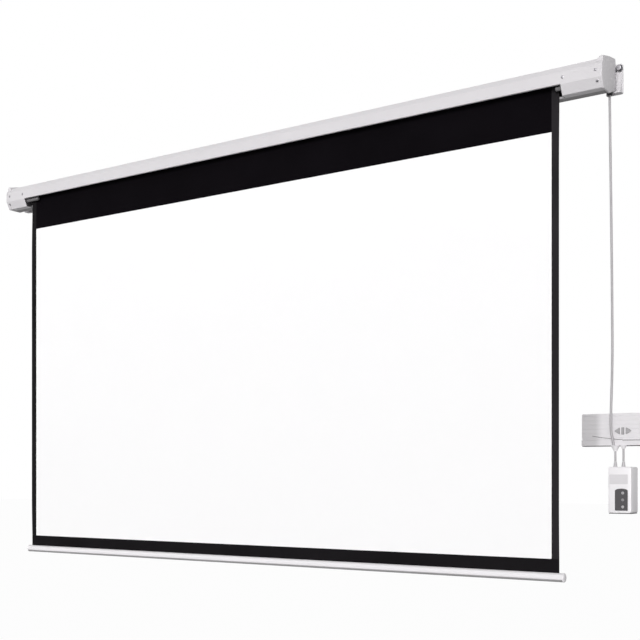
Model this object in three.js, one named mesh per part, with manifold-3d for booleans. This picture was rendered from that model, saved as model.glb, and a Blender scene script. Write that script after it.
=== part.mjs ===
// Electric roll-down projector screen for a wall: an 84 inch, 16:9 picture, a tubular motor in the
// roller, a control station on the wall and a hanging receiver. Lengths are in millimetres.
// X runs along the screen, Y points at the wall and Z is up. The origin lies on the wall, in the middle
// of the picture's width and a little above half the case's height.

import * as THREE from 'three';
import { mergeVertices } from 'three/addons/utils/BufferGeometryUtils.js';
import Module from 'manifold-3d';

const wasm = await Module();
wasm.setup();

// Gaps between pieces, and how far a cutter runs past what it cuts
const clearance = 0.3;
const overrun = 2;

// How many sides round shapes have, and how many steps rounded corners and bent wires take
const hexSides = 6;
const wireSides = 8;
const smallSides = 12;
const screwSides = 16;
const midSides = 24;
const barSides = 28;
const largeSides = 36;
const cornerSteps = 3;
const softCornerSteps = 4;
const domeSteps = 4;
const crestSteps = 5;
const archSteps = 10;
const hookArcSteps = 9;
const hookSteps = 40;
const leadSteps = 16;

// Corners of turned heads, as shares of the radius and of the height
const panHeadShares = [[1, 0.5], [0.7, 1]];
const rivetHeadShares = [[0.8, 0.7], [0.4, 1]];
const pegHeadShares = [[1, 0.6], [0.7, 1]];
const barCapShares = [[0.9, 0.7], [0.6, 0.95]];
const barCapRimShare = 0.3;

// Picture and cloth
const pictureWidth = 1860;
const pictureHeight = 1046;
const pictureDrop = 117;
const sideBorder = 20;
const bottomBand = 34;
const clothFromWall = 80;
const clothThickness = 0.4;
const faceThickness = 0.2;
const layerGap = 0.1;

// Case: an eight-sided tube of folded sheets
const caseDepth = 98;
const caseFromWall = 12;
const caseAbove = 31.5;
const caseBelow = 39.5;
const caseWall = 1.2;
const caseCornerRadius = 3;
const topFrontChamfer = 13;
const topFrontChamferHeight = 17;
const topBackChamfer = 14;
const frontBevelHeight = 24;
const frontBevelDepth = 12;
const backBevelHeight = 17.5;
const backBevelDepth = 42;
const caseOverhangLeft = 93;
const caseOverhangRight = 114;
const slotOverhangLeft = 7;
const slotOverhangRight = 14.5;
const slotHeight = 25;
const slotBehindCloth = 4;

// End caps
const capLip = 1.2;
const capEdge = 1.4;
const capDome = 2.6;
const capDomeInset = 2.2;
const capSkirt = 18;
const capWall = 2.5;
const crestFront = 104;
const crestFrontHeight = 36;
const crestBack = 15;
const crestBackHeight = 54;
const crestBow = 2;
const crestFoot = 20;
const crestReach = 18;
const crestDrop = 36;
const crestCornerRadius = 3;

// Screws and rivets that show on the case
const screwHeadRadius = 3.6;
const screwHeadHeight = 1.8;
const screwShaftRadius = 1.7;
const screwLength = 7;
const screwSlotWidth = 1;
const screwSlotDepth = 0.9;
const upperScrewInset = 12;
const upperScrewHeight = 2;
const lowerScrewInset = 9;
const lowerScrewRise = 15.5;
const rivetHeight = 1;
const rivetHeadRadius = 4;
const rivetHeadHeight = 1.4;
const rivetLength = 5;

// Wall brackets, measured outwards from the end of the case
const bracketInside = 24;
const bracketOutside = 18;
const bracketTop = 44;
const bracketThickness = 3;
const bracketCornerRadius = 4;
const bracketShoulderRadius = 6;
const bracketArmHeight = 27.5;
const bracketArmReach = 20;
const bracketArmStart = 1;
const saddleBack = 12;
const saddleEnd = 5.7;
const gussetRise = 38;
const gussetOffset = 13;
const gussetThickness = 2.5;

// Peg on each bracket, and the wire hook on the case that hangs on it
const pegOffset = 10;
const pegHeight = 32;
const pegRadius = 5;
const pegLength = 7.7;
const pegHeadRadius = 6.5;
const pegHeadThickness = 2.5;
const pegShankRadius = 2.5;
const hookWireRadius = 1.75;
const hookFootInset = 14;
const hookFootHeight = 10;
const hookFootRadius = 6;
const hookFootThickness = 1.5;
const hookNeckShare = 0.25;
const hookMouthShare = 1.25;
const hookArcStart = 1.02 * Math.PI;
const hookArcSweep = 1.5 * Math.PI;
const wallScrewOffset = -12;
const wallScrewHeight = 20;
const wallScrewShankRadius = 2.2;
const wallScrewHeadRadius = 5;
const wallScrewHeadHeight = 2.4;

// Roller with its first turns of cloth
const rollerRadius = 25;
const rollerWall = 1.5;
const rollerPastCloth = 1;
const wrapTurns = 1.5;
const wrapStepsPerTurn = 24;

// Left end of the roller: plug, pin and bearing plate
const plateThickness = 2;
const plateTab = 12;
const plateTabHeight = 14;
const plateTabThickness = 2;
const idlerPinRadius = 5;
const idlerPinHeadRadius = 8;
const idlerPinHeadThickness = 2;
const idlerPinReach = 33;
const idlerPlugLength = 30;
const idlerFlangeThickness = 3;
const idlerPlateGap = 3.7;

// Tubular motor at the right end
const motorRadius = 18;
const motorLength = 424;
const motorHeadRadius = 22;
const motorHeadLength = 22;
const motorHeadGap = 3;
const crownLength = 14;
const crownInset = 2;
const driveShaftRadius = 5;
const driveShaftLength = 38;
const driveShaftSocket = 10;
const driveShaftEndGap = 2;
const driveWheelLength = 14;
const driveWheelInset = 13;
const driveWheelNotches = 8;
const driveWheelNotchDepth = 3;
const limitScrewRadius = 3;
const limitScrewLength = 8.5;
const limitScrewProud = 1;
const limitScrewPitch = 10;
const limitScrewHexRadius = 1.6;
const leadRadius = 3;
const leadHoleOffset = 14;
const leadTurnShares = [[0.6, 0.33, 1], [0.89, 0.8, 0.5]];
const leadDropShares = [2.5, 1.5];

// Cable gland under the right end of the case
const glandInset = 7;
const glandFromWall = 26;
const glandShankRadius = 5;
const glandNutRadius = 7;
const glandNutThickness = 4;
const glandCollarHeight = 6;

// Bottom bar
const barRadius = 11;
const barWall = 1.2;
const barPastCloth = 11;
const barMouth = 2;
const barBeadRadius = 2.5;
const barCapDome = 5;
const barCapPlug = 9;
const barCapLip = 0.4;

// Control station on the wall
const stationCentre = 1087;
const stationTop = 808;
const stationWidth = 205;
const stationHeight = 78;
const stationDepth = 20;
const stationPlate = 3;
const stationWall = 2;
const stationCornerRadius = 3;
const ledgeHeight = 14;
const ledgeDepth = 22;
const ledgeWall = 3;
const ribPitch = 10.6;
const ribGroove = 1.2;
const ribGrooveDepth = 0.7;
const ribEdge = 5.5;
const keyHeight = 17;
const keyArrowLength = 13.5;
const keyBarWidth = 6;
const keySpacing = 14.5;
const keyDrop = 60;
const keyProud = 2;
const keyFlange = 1.6;
const keyFlangeThickness = 1.5;
const keyStem = 8;
const keyCornerRadius = 1.2;
const stationBoardWidth = 70;
const stationBoardHeight = 30;
const boardThickness = 1.6;
const stationSwitchHeight = 2.4;
const stationSwitchSize = 5;
const stationBoardDepth = 11.6;
const postSize = 6;

// Leads from the station down to the receiver, and the cones that they leave through
const leadFromWall = 26;
const coneOneX = 1071;
const coneOneRadius = 11;
const coneOneHeight = 14;
const coneTwoX = 1091;
const coneTwoRadius = 8;
const coneTwoHeight = 8;
const receiverLeadRadius = 2.5;

// Hanging receiver
const receiverCentre = 1091;
const receiverTop = 938.2;
const receiverWidth = 56;
const receiverHeight = 110.4;
const receiverDepth = 50;
const receiverFromWall = 4;
const receiverFrontDepth = 25;
const receiverWall = 2;
const receiverCornerRadius = 4;
const receiverEdge = 2;
const receiverEdgeShare = 0.3;
const panelWidth = 31;
const panelHeight = 52.6;
const panelArch = 5;
const panelOffset = 4.3;
const panelRise = 5.9;
const panelThickness = 1.2;
const panelCornerRadius = 1.5;
const buttonRadius = 3.4;
const buttonOffset = 3.5;
const buttonSpacing = 16.6;
const buttonRise = 9;
const buttonProud = 1.4;
const buttonStem = 7.2;
const buttonFlange = 1.2;
const buttonFlangeThickness = 1;
const receiverBoardSideMargin = 6;
const receiverBoardEndMargin = 11;
const receiverBoardFromFront = 10;
const receiverSwitchSize = 5;
const receiverSwitchHeight = 2.6;
const relayWidth = 16;
const relayHeight = 20;
const relayDepth = 15;
const capacitorRadius = 7;
const capacitorLength = 26;
const terminalWidth = 34;
const terminalHeight = 10;
const terminalDepth = 11;
const reliefRadius = 5;
const reliefHeight = 13;
const reliefTipWall = 0.8;
const reliefBaseShares = [0.9, 0.33];

// Route of the motor's cable from the gland to the station, straight down the wall
const cableRadius = 3;
const cableSides = 8;
const cableStep = 16;
const cableRoute = [
  [1057, -26, -37.38],
  [1057, -26, -56],
  [1057.4, -26, -80],
  [1058, -26, -130],
  [1058.8, -26, -190],
  [1059.8, -26, -260],
  [1060.8, -26, -340],
  [1061.8, -26, -420],
  [1062.6, -26, -500],
  [1063.2, -26, -580],
  [1063.5, -26, -650],
  [1062.8, -26, -710],
  [1061.4, -26, -760],
  [1060.2, -26, -800],
  [1059.8, -26, -825],
  [1060, -26, -843],
  [1061.2, -26, -857],
  [1063.6, -26, -869],
  [1065.6, -26, -879],
  [1066.2, -26, -885.7],
];

// Places worked out from the sizes above
const clothWidth = pictureWidth + 2 * sideBorder;
const pictureBottom = pictureDrop + pictureHeight;
const hemBottom = pictureBottom + bottomBand;
const caseBack = -caseFromWall;
const bracketBottom = bracketArmHeight + bracketThickness;
const caseFront = caseBack - caseDepth;
const caseLeft = clothWidth / 2 + caseOverhangLeft;
const caseRight = clothWidth / 2 + caseOverhangRight;
const slotTop = slotHeight - caseBelow;
const slotBack = slotBehindCloth - clothFromWall;
const clothBack = -clothFromWall + clothThickness / 2;
const rollerHeight = (caseAbove - caseBelow) / 2;
const wrapPitch = clothThickness + clearance;
const wrapInner = rollerRadius + clearance + clothThickness / 2;
const wrapOuter = wrapInner + wrapPitch * wrapTurns;
const rollerY = wrapOuter - clothFromWall;
const rollerHalf = clothWidth / 2 + rollerPastCloth;
const rollerBore = rollerRadius - rollerWall;
const motorHeadStart = rollerHalf + motorHeadGap;
const motorPlateStart = motorHeadStart + motorHeadLength;
const idlerPlateEnd = rollerHalf + idlerFlangeThickness + idlerPlateGap;
const idlerBore = idlerPinRadius + clearance;
const slotLeft = clothWidth / 2 + slotOverhangLeft;
const slotRight = clothWidth / 2 + slotOverhangRight;
const barHalf = clothWidth / 2 + barPastCloth;
const barHeight = -hemBottom - barRadius;
const receiverBoardWidth = receiverWidth - 2 * receiverBoardSideMargin;
const receiverBoardHeight = receiverHeight - 2 * receiverBoardEndMargin;
const frontBevelFoot = caseFront + frontBevelDepth;
const backBevelSlope = backBevelHeight / backBevelDepth;

// Colours and surface of each kind of material
function finish(color, roughness, metalness) {
  return new THREE.MeshStandardMaterial({ color, roughness, metalness });
}

const whitePaint = finish('#dcdbdd', 0.45, 0.1);
const capPlastic = finish('#c9c8ca', 0.55, 0);
const zincSteel = finish('#a9abae', 0.35, 0.9);
const darkSteel = finish('#4c4d50', 0.4, 0.8);
const rollerMetal = finish('#8f9194', 0.4, 0.8);
const blackPlastic = finish('#26262a', 0.5, 0);
const blackCloth = finish('#0d0c10', 0.85, 0);
const whiteCloth = finish('#fbfbfb', 0.9, 0);
const whitePlastic = finish('#ebeaec', 0.4, 0);
const greyPlastic = finish('#8b8b8f', 0.5, 0);
const panelPlastic = finish('#4b4b4f', 0.45, 0);
const cableSkin = finish('#b4b4b8', 0.6, 0);
const boardGreen = finish('#2f6b45', 0.6, 0);

// Turns a closed geometry into a solid that can be cut and joined
function solid(geometry) {
  const bare = geometry.clone();
  bare.deleteAttribute('normal');
  bare.deleteAttribute('uv');
  const merged = mergeVertices(bare, 1e-4);
  return new wasm.Manifold(new wasm.Mesh({
    numProp: 3,
    vertProperties: new Float32Array(merged.attributes.position.array),
    triVerts: new Uint32Array(merged.index.array),
  }));
}

// Turns a solid back into a geometry
function shaped(body) {
  const data = body.getMesh();
  const geometry = new THREE.BufferGeometry();
  geometry.setAttribute('position', new THREE.BufferAttribute(new Float32Array(data.vertProperties), 3));
  geometry.setIndex(new THREE.BufferAttribute(new Uint32Array(data.triVerts), 1));
  geometry.computeVertexNormals();
  return geometry;
}

function joined(...geometries) {
  return shaped(geometries.map(solid).reduce((whole, piece) => whole.add(piece)));
}

function cut(geometry, ...cutters) {
  return shaped(cutters.map(solid).reduce((whole, cutter) => whole.subtract(cutter), solid(geometry)));
}

// A copy reflected in the plane X = 0, with its faces turned outwards again
function mirrored(geometry) {
  const copy = geometry.index ? geometry.toNonIndexed() : geometry.clone();
  copy.scale(-1, 1, 1);
  const place = copy.attributes.position;
  for (let corner = 0; corner < place.count; corner += 3) {
    const second = new THREE.Vector3().fromBufferAttribute(place, corner + 1);
    const third = new THREE.Vector3().fromBufferAttribute(place, corner + 2);
    place.setXYZ(corner + 1, third.x, third.y, third.z);
    place.setXYZ(corner + 2, second.x, second.y, second.z);
  }
  copy.computeVertexNormals();
  return copy;
}

function block(low, high) {
  const size = high.map((value, axis) => value - low[axis]);
  const middle = high.map((value, axis) => (value + low[axis]) / 2);
  return new THREE.BoxGeometry(...size).translate(...middle);
}

// A round bar between two places on the axis named, centred at the two other coordinates
function rod(axis, radius, from, to, centre, sides = midSides) {
  const bar = new THREE.CylinderGeometry(radius, radius, Math.abs(to - from), sides);
  const middle = (from + to) / 2;
  if (axis === 'x') {
    return bar.rotateZ(-Math.PI / 2).translate(middle, centre[0], centre[1]);
  }
  if (axis === 'y') {
    return bar.translate(centre[0], middle, centre[1]);
  }
  return bar.rotateX(Math.PI / 2).translate(centre[0], centre[1], middle);
}

function extruded(outline, depth, holes = []) {
  const shape = new THREE.Shape(outline.map(([a, b]) => new THREE.Vector2(a, b)));
  shape.holes = holes.map((hole) => new THREE.Path(hole.map(([a, b]) => new THREE.Vector2(a, b))));
  return new THREE.ExtrudeGeometry(shape, { depth, bevelEnabled: false });
}

// Prisms of an outline in the plane across the axis named; the outline's pairs are (y, z) or (x, z)
function prismX(outline, from, to, holes = []) {
  const turn = new THREE.Matrix4().makeBasis(
    new THREE.Vector3(0, 1, 0),
    new THREE.Vector3(0, 0, 1),
    new THREE.Vector3(1, 0, 0),
  );
  return extruded(outline, to - from, holes).applyMatrix4(turn).translate(from, 0, 0);
}

function prismY(outline, front, back, holes = []) {
  const turn = new THREE.Matrix4().makeBasis(
    new THREE.Vector3(1, 0, 0),
    new THREE.Vector3(0, 0, 1),
    new THREE.Vector3(0, -1, 0),
  );
  return extruded(outline, back - front, holes).applyMatrix4(turn).translate(0, back, 0);
}

// A solid of revolution about Z from pairs of radius and height that run upwards from axis to axis
function turned(profile, sides = midSides) {
  const points = profile.map(([radius, height]) => new THREE.Vector2(radius, height));
  return new THREE.LatheGeometry(points, sides).rotateX(Math.PI / 2);
}

// A solid through rings that each have the same number of points, with flat ends
function lofted(rings) {
  const count = rings[0].length;
  const places = rings.flat().map((point) => new THREE.Vector3(...point));
  const corners = [];
  for (let ring = 0; ring + 1 < rings.length; ring += 1) {
    for (let i = 0; i < count; i += 1) {
      const next = (i + 1) % count;
      const low = ring * count;
      const high = low + count;
      corners.push(low + i, low + next, high + next, low + i, high + next, high + i);
    }
  }
  const last = (rings.length - 1) * count;
  for (let i = 1; i + 1 < count; i += 1) {
    corners.push(0, i + 1, i);
    corners.push(last, last + i, last + i + 1);
  }
  const geometry = new THREE.BufferGeometry().setFromPoints(places);
  geometry.setIndex(corners);
  return geometry;
}

// Moves each side of a convex outline outwards by the same distance
function grown(corners, distance) {
  const sides = corners.map(([a, b], i) => {
    const [c, d] = corners[(i + 1) % corners.length];
    const length = Math.hypot(c - a, d - b);
    const normal = [(d - b) / length, (a - c) / length];
    return { normal, offset: normal[0] * a + normal[1] * b + distance };
  });
  return sides.map((side, i) => {
    const before = sides[(i + sides.length - 1) % sides.length];
    const turn = before.normal[0] * side.normal[1] - before.normal[1] * side.normal[0];
    return [
      (before.offset * side.normal[1] - side.offset * before.normal[1]) / turn,
      (before.normal[0] * side.offset - side.normal[0] * before.offset) / turn,
    ];
  });
}

// Rounds the corners of a convex outline, with one radius for all or one for each corner
function rounded(corners, radii, steps = cornerSteps) {
  return corners.flatMap((corner, i) => {
    const radius = Array.isArray(radii) ? radii[i] : radii;
    const here = new THREE.Vector2(...corner);
    const before = new THREE.Vector2(...corners[(i + corners.length - 1) % corners.length]);
    const after = new THREE.Vector2(...corners[(i + 1) % corners.length]);
    const back = before.sub(here).normalize();
    const ahead = after.sub(here).normalize();
    const half = Math.acos(back.dot(ahead)) / 2;
    const reach = radius / Math.tan(half);
    const middle = back.clone().add(ahead).normalize().multiplyScalar(radius / Math.sin(half)).add(here);
    const start = back.multiplyScalar(reach).add(here).sub(middle);
    const end = ahead.multiplyScalar(reach).add(here).sub(middle);
    const sweep = Math.atan2(start.cross(end), start.dot(end));
    return Array.from({ length: steps + 1 }, (_, step) => {
      const point = start.clone().rotateAround(new THREE.Vector2(), (sweep * step) / steps).add(middle);
      return [point.x, point.y];
    });
  });
}

function rectangle(left, low, right, high) {
  return [[left, low], [right, low], [right, high], [left, high]];
}

function circle(radius, x, z, sides = midSides) {
  return Array.from({ length: sides }, (_, i) => {
    const angle = (2 * Math.PI * i) / sides;
    return [x + radius * Math.cos(angle), z + radius * Math.sin(angle)];
  });
}

// Points of a turned head from shares of its radius and of its height above where it starts
function domed(shares, radius, from, height) {
  return shares.map(([across, up]) => [radius * across, from + height * up]);
}

function smoothCurve(points) {
  return new THREE.CatmullRomCurve3(points.map((point) => new THREE.Vector3(...point)), false, 'centripetal');
}

// A round tube along a curve
function tube(points, radius, sides, steps) {
  const curve = smoothCurve(points);
  const section = new THREE.Shape(circle(radius, 0, 0, sides).map(([a, b]) => new THREE.Vector2(a, b)));
  return new THREE.ExtrudeGeometry(section, { extrudePath: curve, steps, bevelEnabled: false });
}

// Turns a piece made along Z to face the way given, at the point given
function aimed(geometry, point, direction) {
  const turn = new THREE.Quaternion().setFromUnitVectors(new THREE.Vector3(0, 0, 1), direction);
  return geometry.clone().applyQuaternion(turn).translate(point.x, point.y, point.z);
}

function piece(name, geometry, material) {
  const mesh = new THREE.Mesh(geometry, material);
  mesh.name = name;
  return mesh;
}

// The case's section, seen from its right end, grown outwards by a distance
function caseSection(growth) {
  const front = caseFront;
  const corners = [
    [frontBevelFoot, -caseBelow],
    [caseBack - backBevelDepth, -caseBelow],
    [caseBack, backBevelHeight - caseBelow],
    [caseBack, caseAbove - topBackChamfer],
    [caseBack - topBackChamfer, caseAbove],
    [front + topFrontChamfer, caseAbove],
    [front, caseAbove - topFrontChamferHeight],
    [front, frontBevelHeight - caseBelow],
  ];
  return rounded(grown(corners, growth), caseCornerRadius);
}

// Height of the back bevel's outer face at a place between its two ends
function backBevelHeightAt(y, growth = 0) {
  const lean = growth * Math.hypot(1, backBevelSlope);
  return backBevelHeight - caseBelow + (y - caseBack) * backBevelSlope - lean;
}

// Where the screws sit, measured outwards from the end of the case, and the way that they face
const frontBevelNormal = new THREE.Vector3(0, -frontBevelHeight, -frontBevelDepth).normalize();
const frontNormal = new THREE.Vector3(0, -1, 0);
const lowerScrewShare = lowerScrewRise / frontBevelHeight;
const screwPlaces = {
  upper: {
    point: new THREE.Vector3(-upperScrewInset, caseFront, upperScrewHeight),
    normal: frontNormal,
  },
  lower: {
    point: new THREE.Vector3(
      -lowerScrewInset,
      frontBevelFoot - frontBevelDepth * lowerScrewShare,
      lowerScrewRise - caseBelow,
    ),
    normal: frontBevelNormal,
  },
};

// Rivets that hold the two plates of the roller to the front of the case
const rivetX = {
  left: -(idlerPlateEnd + plateThickness + plateTab / 2),
  right: motorPlateStart - plateTab / 2,
};

function screwHole(place, mirror, endX) {
  const hole = aimed(
    rod('z', screwShaftRadius + clearance, -screwLength - overrun, overrun, [0, 0], smallSides),
    place.point,
    place.normal,
  );
  const sided = mirror ? mirrored(hole) : hole;
  return sided.translate(endX, 0, 0);
}

// Eight-sided tube with its slot and holes, from which the case's sheets are cut
function caseTube() {
  const tubeBody = prismX(caseSection(0), -caseLeft, caseRight, [caseSection(-caseWall)]);
  const slot = block(
    [-slotLeft, caseFront - overrun, -caseBelow - overrun],
    [slotRight, slotBack, slotTop],
  );
  const screwHoles = Object.values(screwPlaces).flatMap((place) => [
    screwHole(place, false, caseRight),
    screwHole(place, true, -caseLeft),
  ]);
  const rivetHoles = Object.values(rivetX).map((x) => rod(
    'y',
    screwShaftRadius + clearance,
    caseFront - overrun,
    caseFront + caseWall + overrun,
    [x, rivetHeight],
    smallSides,
  ));
  const glandHole = rod(
    'z',
    glandShankRadius + clearance,
    -caseBelow,
    rollerHeight,
    [caseRight - glandInset, -glandFromWall],
  );
  return cut(tubeBody, slot, ...screwHoles, ...rivetHoles, glandHole);
}

// Upper sheet: the front, the top and the back, down to the height of the slot's front edge
function housingShell() {
  const below = block(
    [-caseLeft - overrun, caseFront - overrun, -caseBelow - overrun],
    [caseRight + overrun, caseBack + overrun, slotTop],
  );
  return piece('housing_shell', cut(caseTube(), below), whitePaint);
}

// Lower sheets: the panel behind the slot, and a strip that shuts the case past each end of the slot
function lowerSheets() {
  const left = -caseLeft - overrun;
  const right = caseRight + overrun;
  const front = caseFront - overrun;
  const low = -caseBelow - overrun;
  const stripBack = slotBack - clearance;
  const above = block([left, front, slotTop - clearance], [right, caseBack + overrun, caseAbove + overrun]);
  const sheets = cut(caseTube(), above);
  const before = block([left, front, low], [right, slotBack, slotTop]);
  const behind = block([left, stripBack, low], [right, caseBack + overrun, slotTop]);
  const toTheLeft = block([left, front, low], [0, slotBack, slotTop]);
  const toTheRight = block([0, front, low], [right, slotBack, slotTop]);
  return [
    piece('bottom_panel', cut(sheets, before), whitePaint),
    piece('slot_end_left', cut(sheets, behind, toTheRight), whitePaint),
    piece('slot_end_right', cut(sheets, behind, toTheLeft), whitePaint),
  ];
}

// Side view of a cap's raised top, grown outwards by a distance, with its upper corners lowered
function crestSection(growth, lowered) {
  const middle = (crestFront + crestBack) / 2;
  const middleHeight = (crestFrontHeight + crestBackHeight) / 2 + crestBow;
  const corners = [
    [-crestFront, -crestFoot],
    [-crestBack, -crestFoot],
    [-crestBack, crestBackHeight - lowered],
    [-middle, middleHeight - lowered],
    [-crestFront, crestFrontHeight - lowered],
  ];
  return rounded(grown(corners, growth), crestCornerRadius);
}

// Raised top of the right end's cap, rounded down to the case towards the middle of the screen
function crestShape() {
  const ring = (x, growth, lowered) => crestSection(growth, lowered).map(([y, z]) => [x, y, z]);
  const rings = [];
  for (let step = 0; step <= crestSteps; step += 1) {
    const angle = (Math.PI / 2) * (step / crestSteps);
    rings.push(ring(-crestReach * Math.cos(angle), 0, crestDrop * (1 - Math.sin(angle))));
  }
  rings.push(ring(capEdge, 0, 0));
  for (let step = 1; step <= domeSteps; step += 1) {
    const angle = (Math.PI / 2) * (step / domeSteps);
    rings.push(ring(capEdge + capDome * Math.sin(angle), -capDomeInset * (1 - Math.cos(angle)), 0));
  }
  const caseEndBlock = prismX(caseSection(clearance), -crestReach - overrun, 0);
  return cut(lofted(rings), caseEndBlock);
}

// Moulded cap of the right end; X is measured outwards from the end of the case
function capShape() {
  const ring = (x, growth) => caseSection(growth).map(([y, z]) => [x, y, z]);
  const rings = [ring(0, capLip), ring(capEdge, capLip)];
  for (let step = 1; step <= domeSteps; step += 1) {
    const angle = (Math.PI / 2) * (step / domeSteps);
    rings.push(ring(capEdge + capDome * Math.sin(angle), capLip - capDomeInset * (1 - Math.cos(angle))));
  }
  const skirtOutside = -caseWall - clearance;
  const skirt = prismX(caseSection(skirtOutside), -capSkirt, capEdge);
  const hollow = prismX(caseSection(skirtOutside - capWall), -capSkirt - overrun, capEdge);
  const holes = Object.values(screwPlaces).map((place) => screwHole(place, false, 0));
  const gland = rod(
    'z',
    glandNutRadius + clearance,
    -caseBelow,
    rollerHeight,
    [-glandInset, -glandFromWall],
  );
  return cut(joined(lofted(rings), skirt, crestShape()), hollow, gland, ...holes);
}

// Pan-head screw along Z with a crossed slot; Z = 0 is the face that it is driven into
function panScrew(headRadius, headHeight, shaftRadius, shaftLength) {
  const head = turned([
    [0, -shaftLength],
    [shaftRadius, -shaftLength],
    [shaftRadius, clearance],
    [headRadius, clearance],
    ...domed(panHeadShares, headRadius, clearance, headHeight),
    [0, clearance + headHeight],
  ], screwSides);
  const top = clearance + headHeight;
  const arm = headRadius / 2;
  const half = screwSlotWidth / 2;
  return cut(
    head,
    block([-arm, -half, top - screwSlotDepth], [arm, half, top + overrun]),
    block([-half, -arm, top - screwSlotDepth], [half, arm, top + overrun]),
  );
}

function rivet(name, x) {
  const shape = turned([
    [0, -rivetLength],
    [screwShaftRadius, -rivetLength],
    [screwShaftRadius, clearance],
    [rivetHeadRadius, clearance],
    ...domed(rivetHeadShares, rivetHeadRadius, clearance, rivetHeadHeight),
    [0, clearance + rivetHeadHeight],
  ], screwSides);
  const mesh = piece(name, shape, zincSteel);
  mesh.quaternion.setFromUnitVectors(new THREE.Vector3(0, 0, 1), frontNormal);
  mesh.position.set(x, caseFront, rivetHeight);
  return mesh;
}

// Folded steel bracket of the right end: wall plate, arm, saddle under the cap and gusset
function bracketShape() {
  const armTop = -bracketArmHeight;
  const armLow = armTop - bracketThickness;
  const plate = prismY(
    rounded(
      rectangle(-bracketInside, -bracketBottom, bracketOutside, bracketTop),
      [bracketCornerRadius, bracketCornerRadius, bracketShoulderRadius, bracketCornerRadius],
      softCornerSteps,
    ),
    -bracketThickness,
    0,
    [
      circle(wallScrewShankRadius + clearance, wallScrewOffset, -wallScrewHeight, smallSides),
      circle(pegShankRadius + clearance, pegOffset, pegHeight, smallSides),
    ],
  );
  const arm = block(
    [bracketArmStart, -bracketArmReach, armLow],
    [bracketOutside, -bracketThickness / 2, armTop],
  );
  const saddleFront = bracketThickness - bracketArmReach;
  const saddleTop = (y) => backBevelHeightAt(y, capLip + clearance);
  const armMiddle = armLow + bracketThickness / 2;
  const saddle = prismX(
    [
      [saddleFront, armMiddle],
      [-saddleBack, armMiddle],
      [-saddleBack, saddleTop(-saddleBack)],
      [saddleFront, saddleTop(saddleFront)],
    ],
    bracketArmStart,
    saddleEnd,
  );
  const gusset = prismX(
    [
      [saddleFront, armMiddle],
      [-bracketThickness / 2, armMiddle],
      [-bracketThickness / 2, armTop + gussetRise],
    ],
    gussetOffset,
    gussetOffset + gussetThickness,
  );
  return joined(plate, arm, saddle, gusset);
}

// Shouldered peg of a bracket, along Z outwards from the wall
function pegShape() {
  const foot = bracketThickness + clearance;
  return turned([
    [0, 0],
    [pegShankRadius, 0],
    [pegShankRadius, foot],
    [pegRadius, foot],
    [pegRadius, foot + pegLength],
    [pegHeadRadius, foot + pegLength],
    ...domed(pegHeadShares, pegHeadRadius, foot + pegLength, pegHeadThickness),
    [0, foot + pegLength + pegHeadThickness],
  ]);
}

// Bent wire hook of the right end, with a round foot on the back of the case
function hookShape() {
  const wireY = -bracketThickness - clearance - pegLength / 2 - hookWireRadius * hookNeckShare;
  const loop = pegRadius + clearance + hookWireRadius;
  const footFace = caseBack + hookFootThickness;
  const route = [
    [-hookFootInset, footFace - hookFootThickness / 2, hookFootHeight],
    [-hookFootInset, (footFace + wireY) / 2, hookFootHeight],
    [-hookFootInset + hookWireRadius, wireY, hookFootHeight + hookWireRadius],
    [-hookFootInset / 2, wireY, (hookFootHeight + pegHeight) / 2 - loop * hookNeckShare],
    [pegOffset - loop * hookMouthShare, wireY, pegHeight - loop],
  ];
  for (let step = 0; step <= hookArcSteps; step += 1) {
    const angle = hookArcStart - (hookArcSweep * step) / hookArcSteps;
    route.push([pegOffset + loop * Math.cos(angle), wireY, pegHeight + loop * Math.sin(angle)]);
  }
  const foot = rod('y', hookFootRadius, caseBack, footFace, [-hookFootInset, hookFootHeight]);
  return joined(tube(route, hookWireRadius, wireSides, hookSteps), foot);
}

// Everything that repeats at each end of the case; the left end is the right one reflected
function caseEnd(side) {
  const left = side === 'left';
  const sided = (geometry) => (left ? mirrored(geometry) : geometry);
  const end = new THREE.Group();
  end.position.x = left ? -caseLeft : caseRight;
  end.add(piece(`end_cap_${side}`, sided(capShape()), capPlastic));
  end.add(piece(`wall_bracket_${side}`, sided(bracketShape()), whitePaint));
  end.add(piece(`hanger_hook_${side}`, sided(hookShape()), darkSteel));

  const outwards = left ? -1 : 1;
  const towardsRoom = new THREE.Quaternion().setFromUnitVectors(new THREE.Vector3(0, 0, 1), frontNormal);
  const peg = piece(`hanger_peg_${side}`, pegShape(), zincSteel);
  peg.quaternion.copy(towardsRoom);
  peg.position.set(outwards * pegOffset, 0, pegHeight);
  const wallScrew = piece(
    `bracket_screw_${side}`,
    panScrew(wallScrewHeadRadius, wallScrewHeadHeight, wallScrewShankRadius, bracketThickness),
    zincSteel,
  );
  wallScrew.quaternion.copy(towardsRoom);
  wallScrew.position.set(outwards * wallScrewOffset, -bracketThickness, -wallScrewHeight);
  end.add(peg, wallScrew);

  for (const [level, place] of Object.entries(screwPlaces)) {
    const screw = piece(
      `cap_screw_${side}_${level}`,
      panScrew(screwHeadRadius, screwHeadHeight, screwShaftRadius, screwLength),
      zincSteel,
    );
    screw.quaternion.setFromUnitVectors(new THREE.Vector3(0, 0, 1), place.normal);
    screw.position.copy(place.point);
    screw.position.x *= outwards;
    end.add(screw);
  }
  return end;
}

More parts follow.
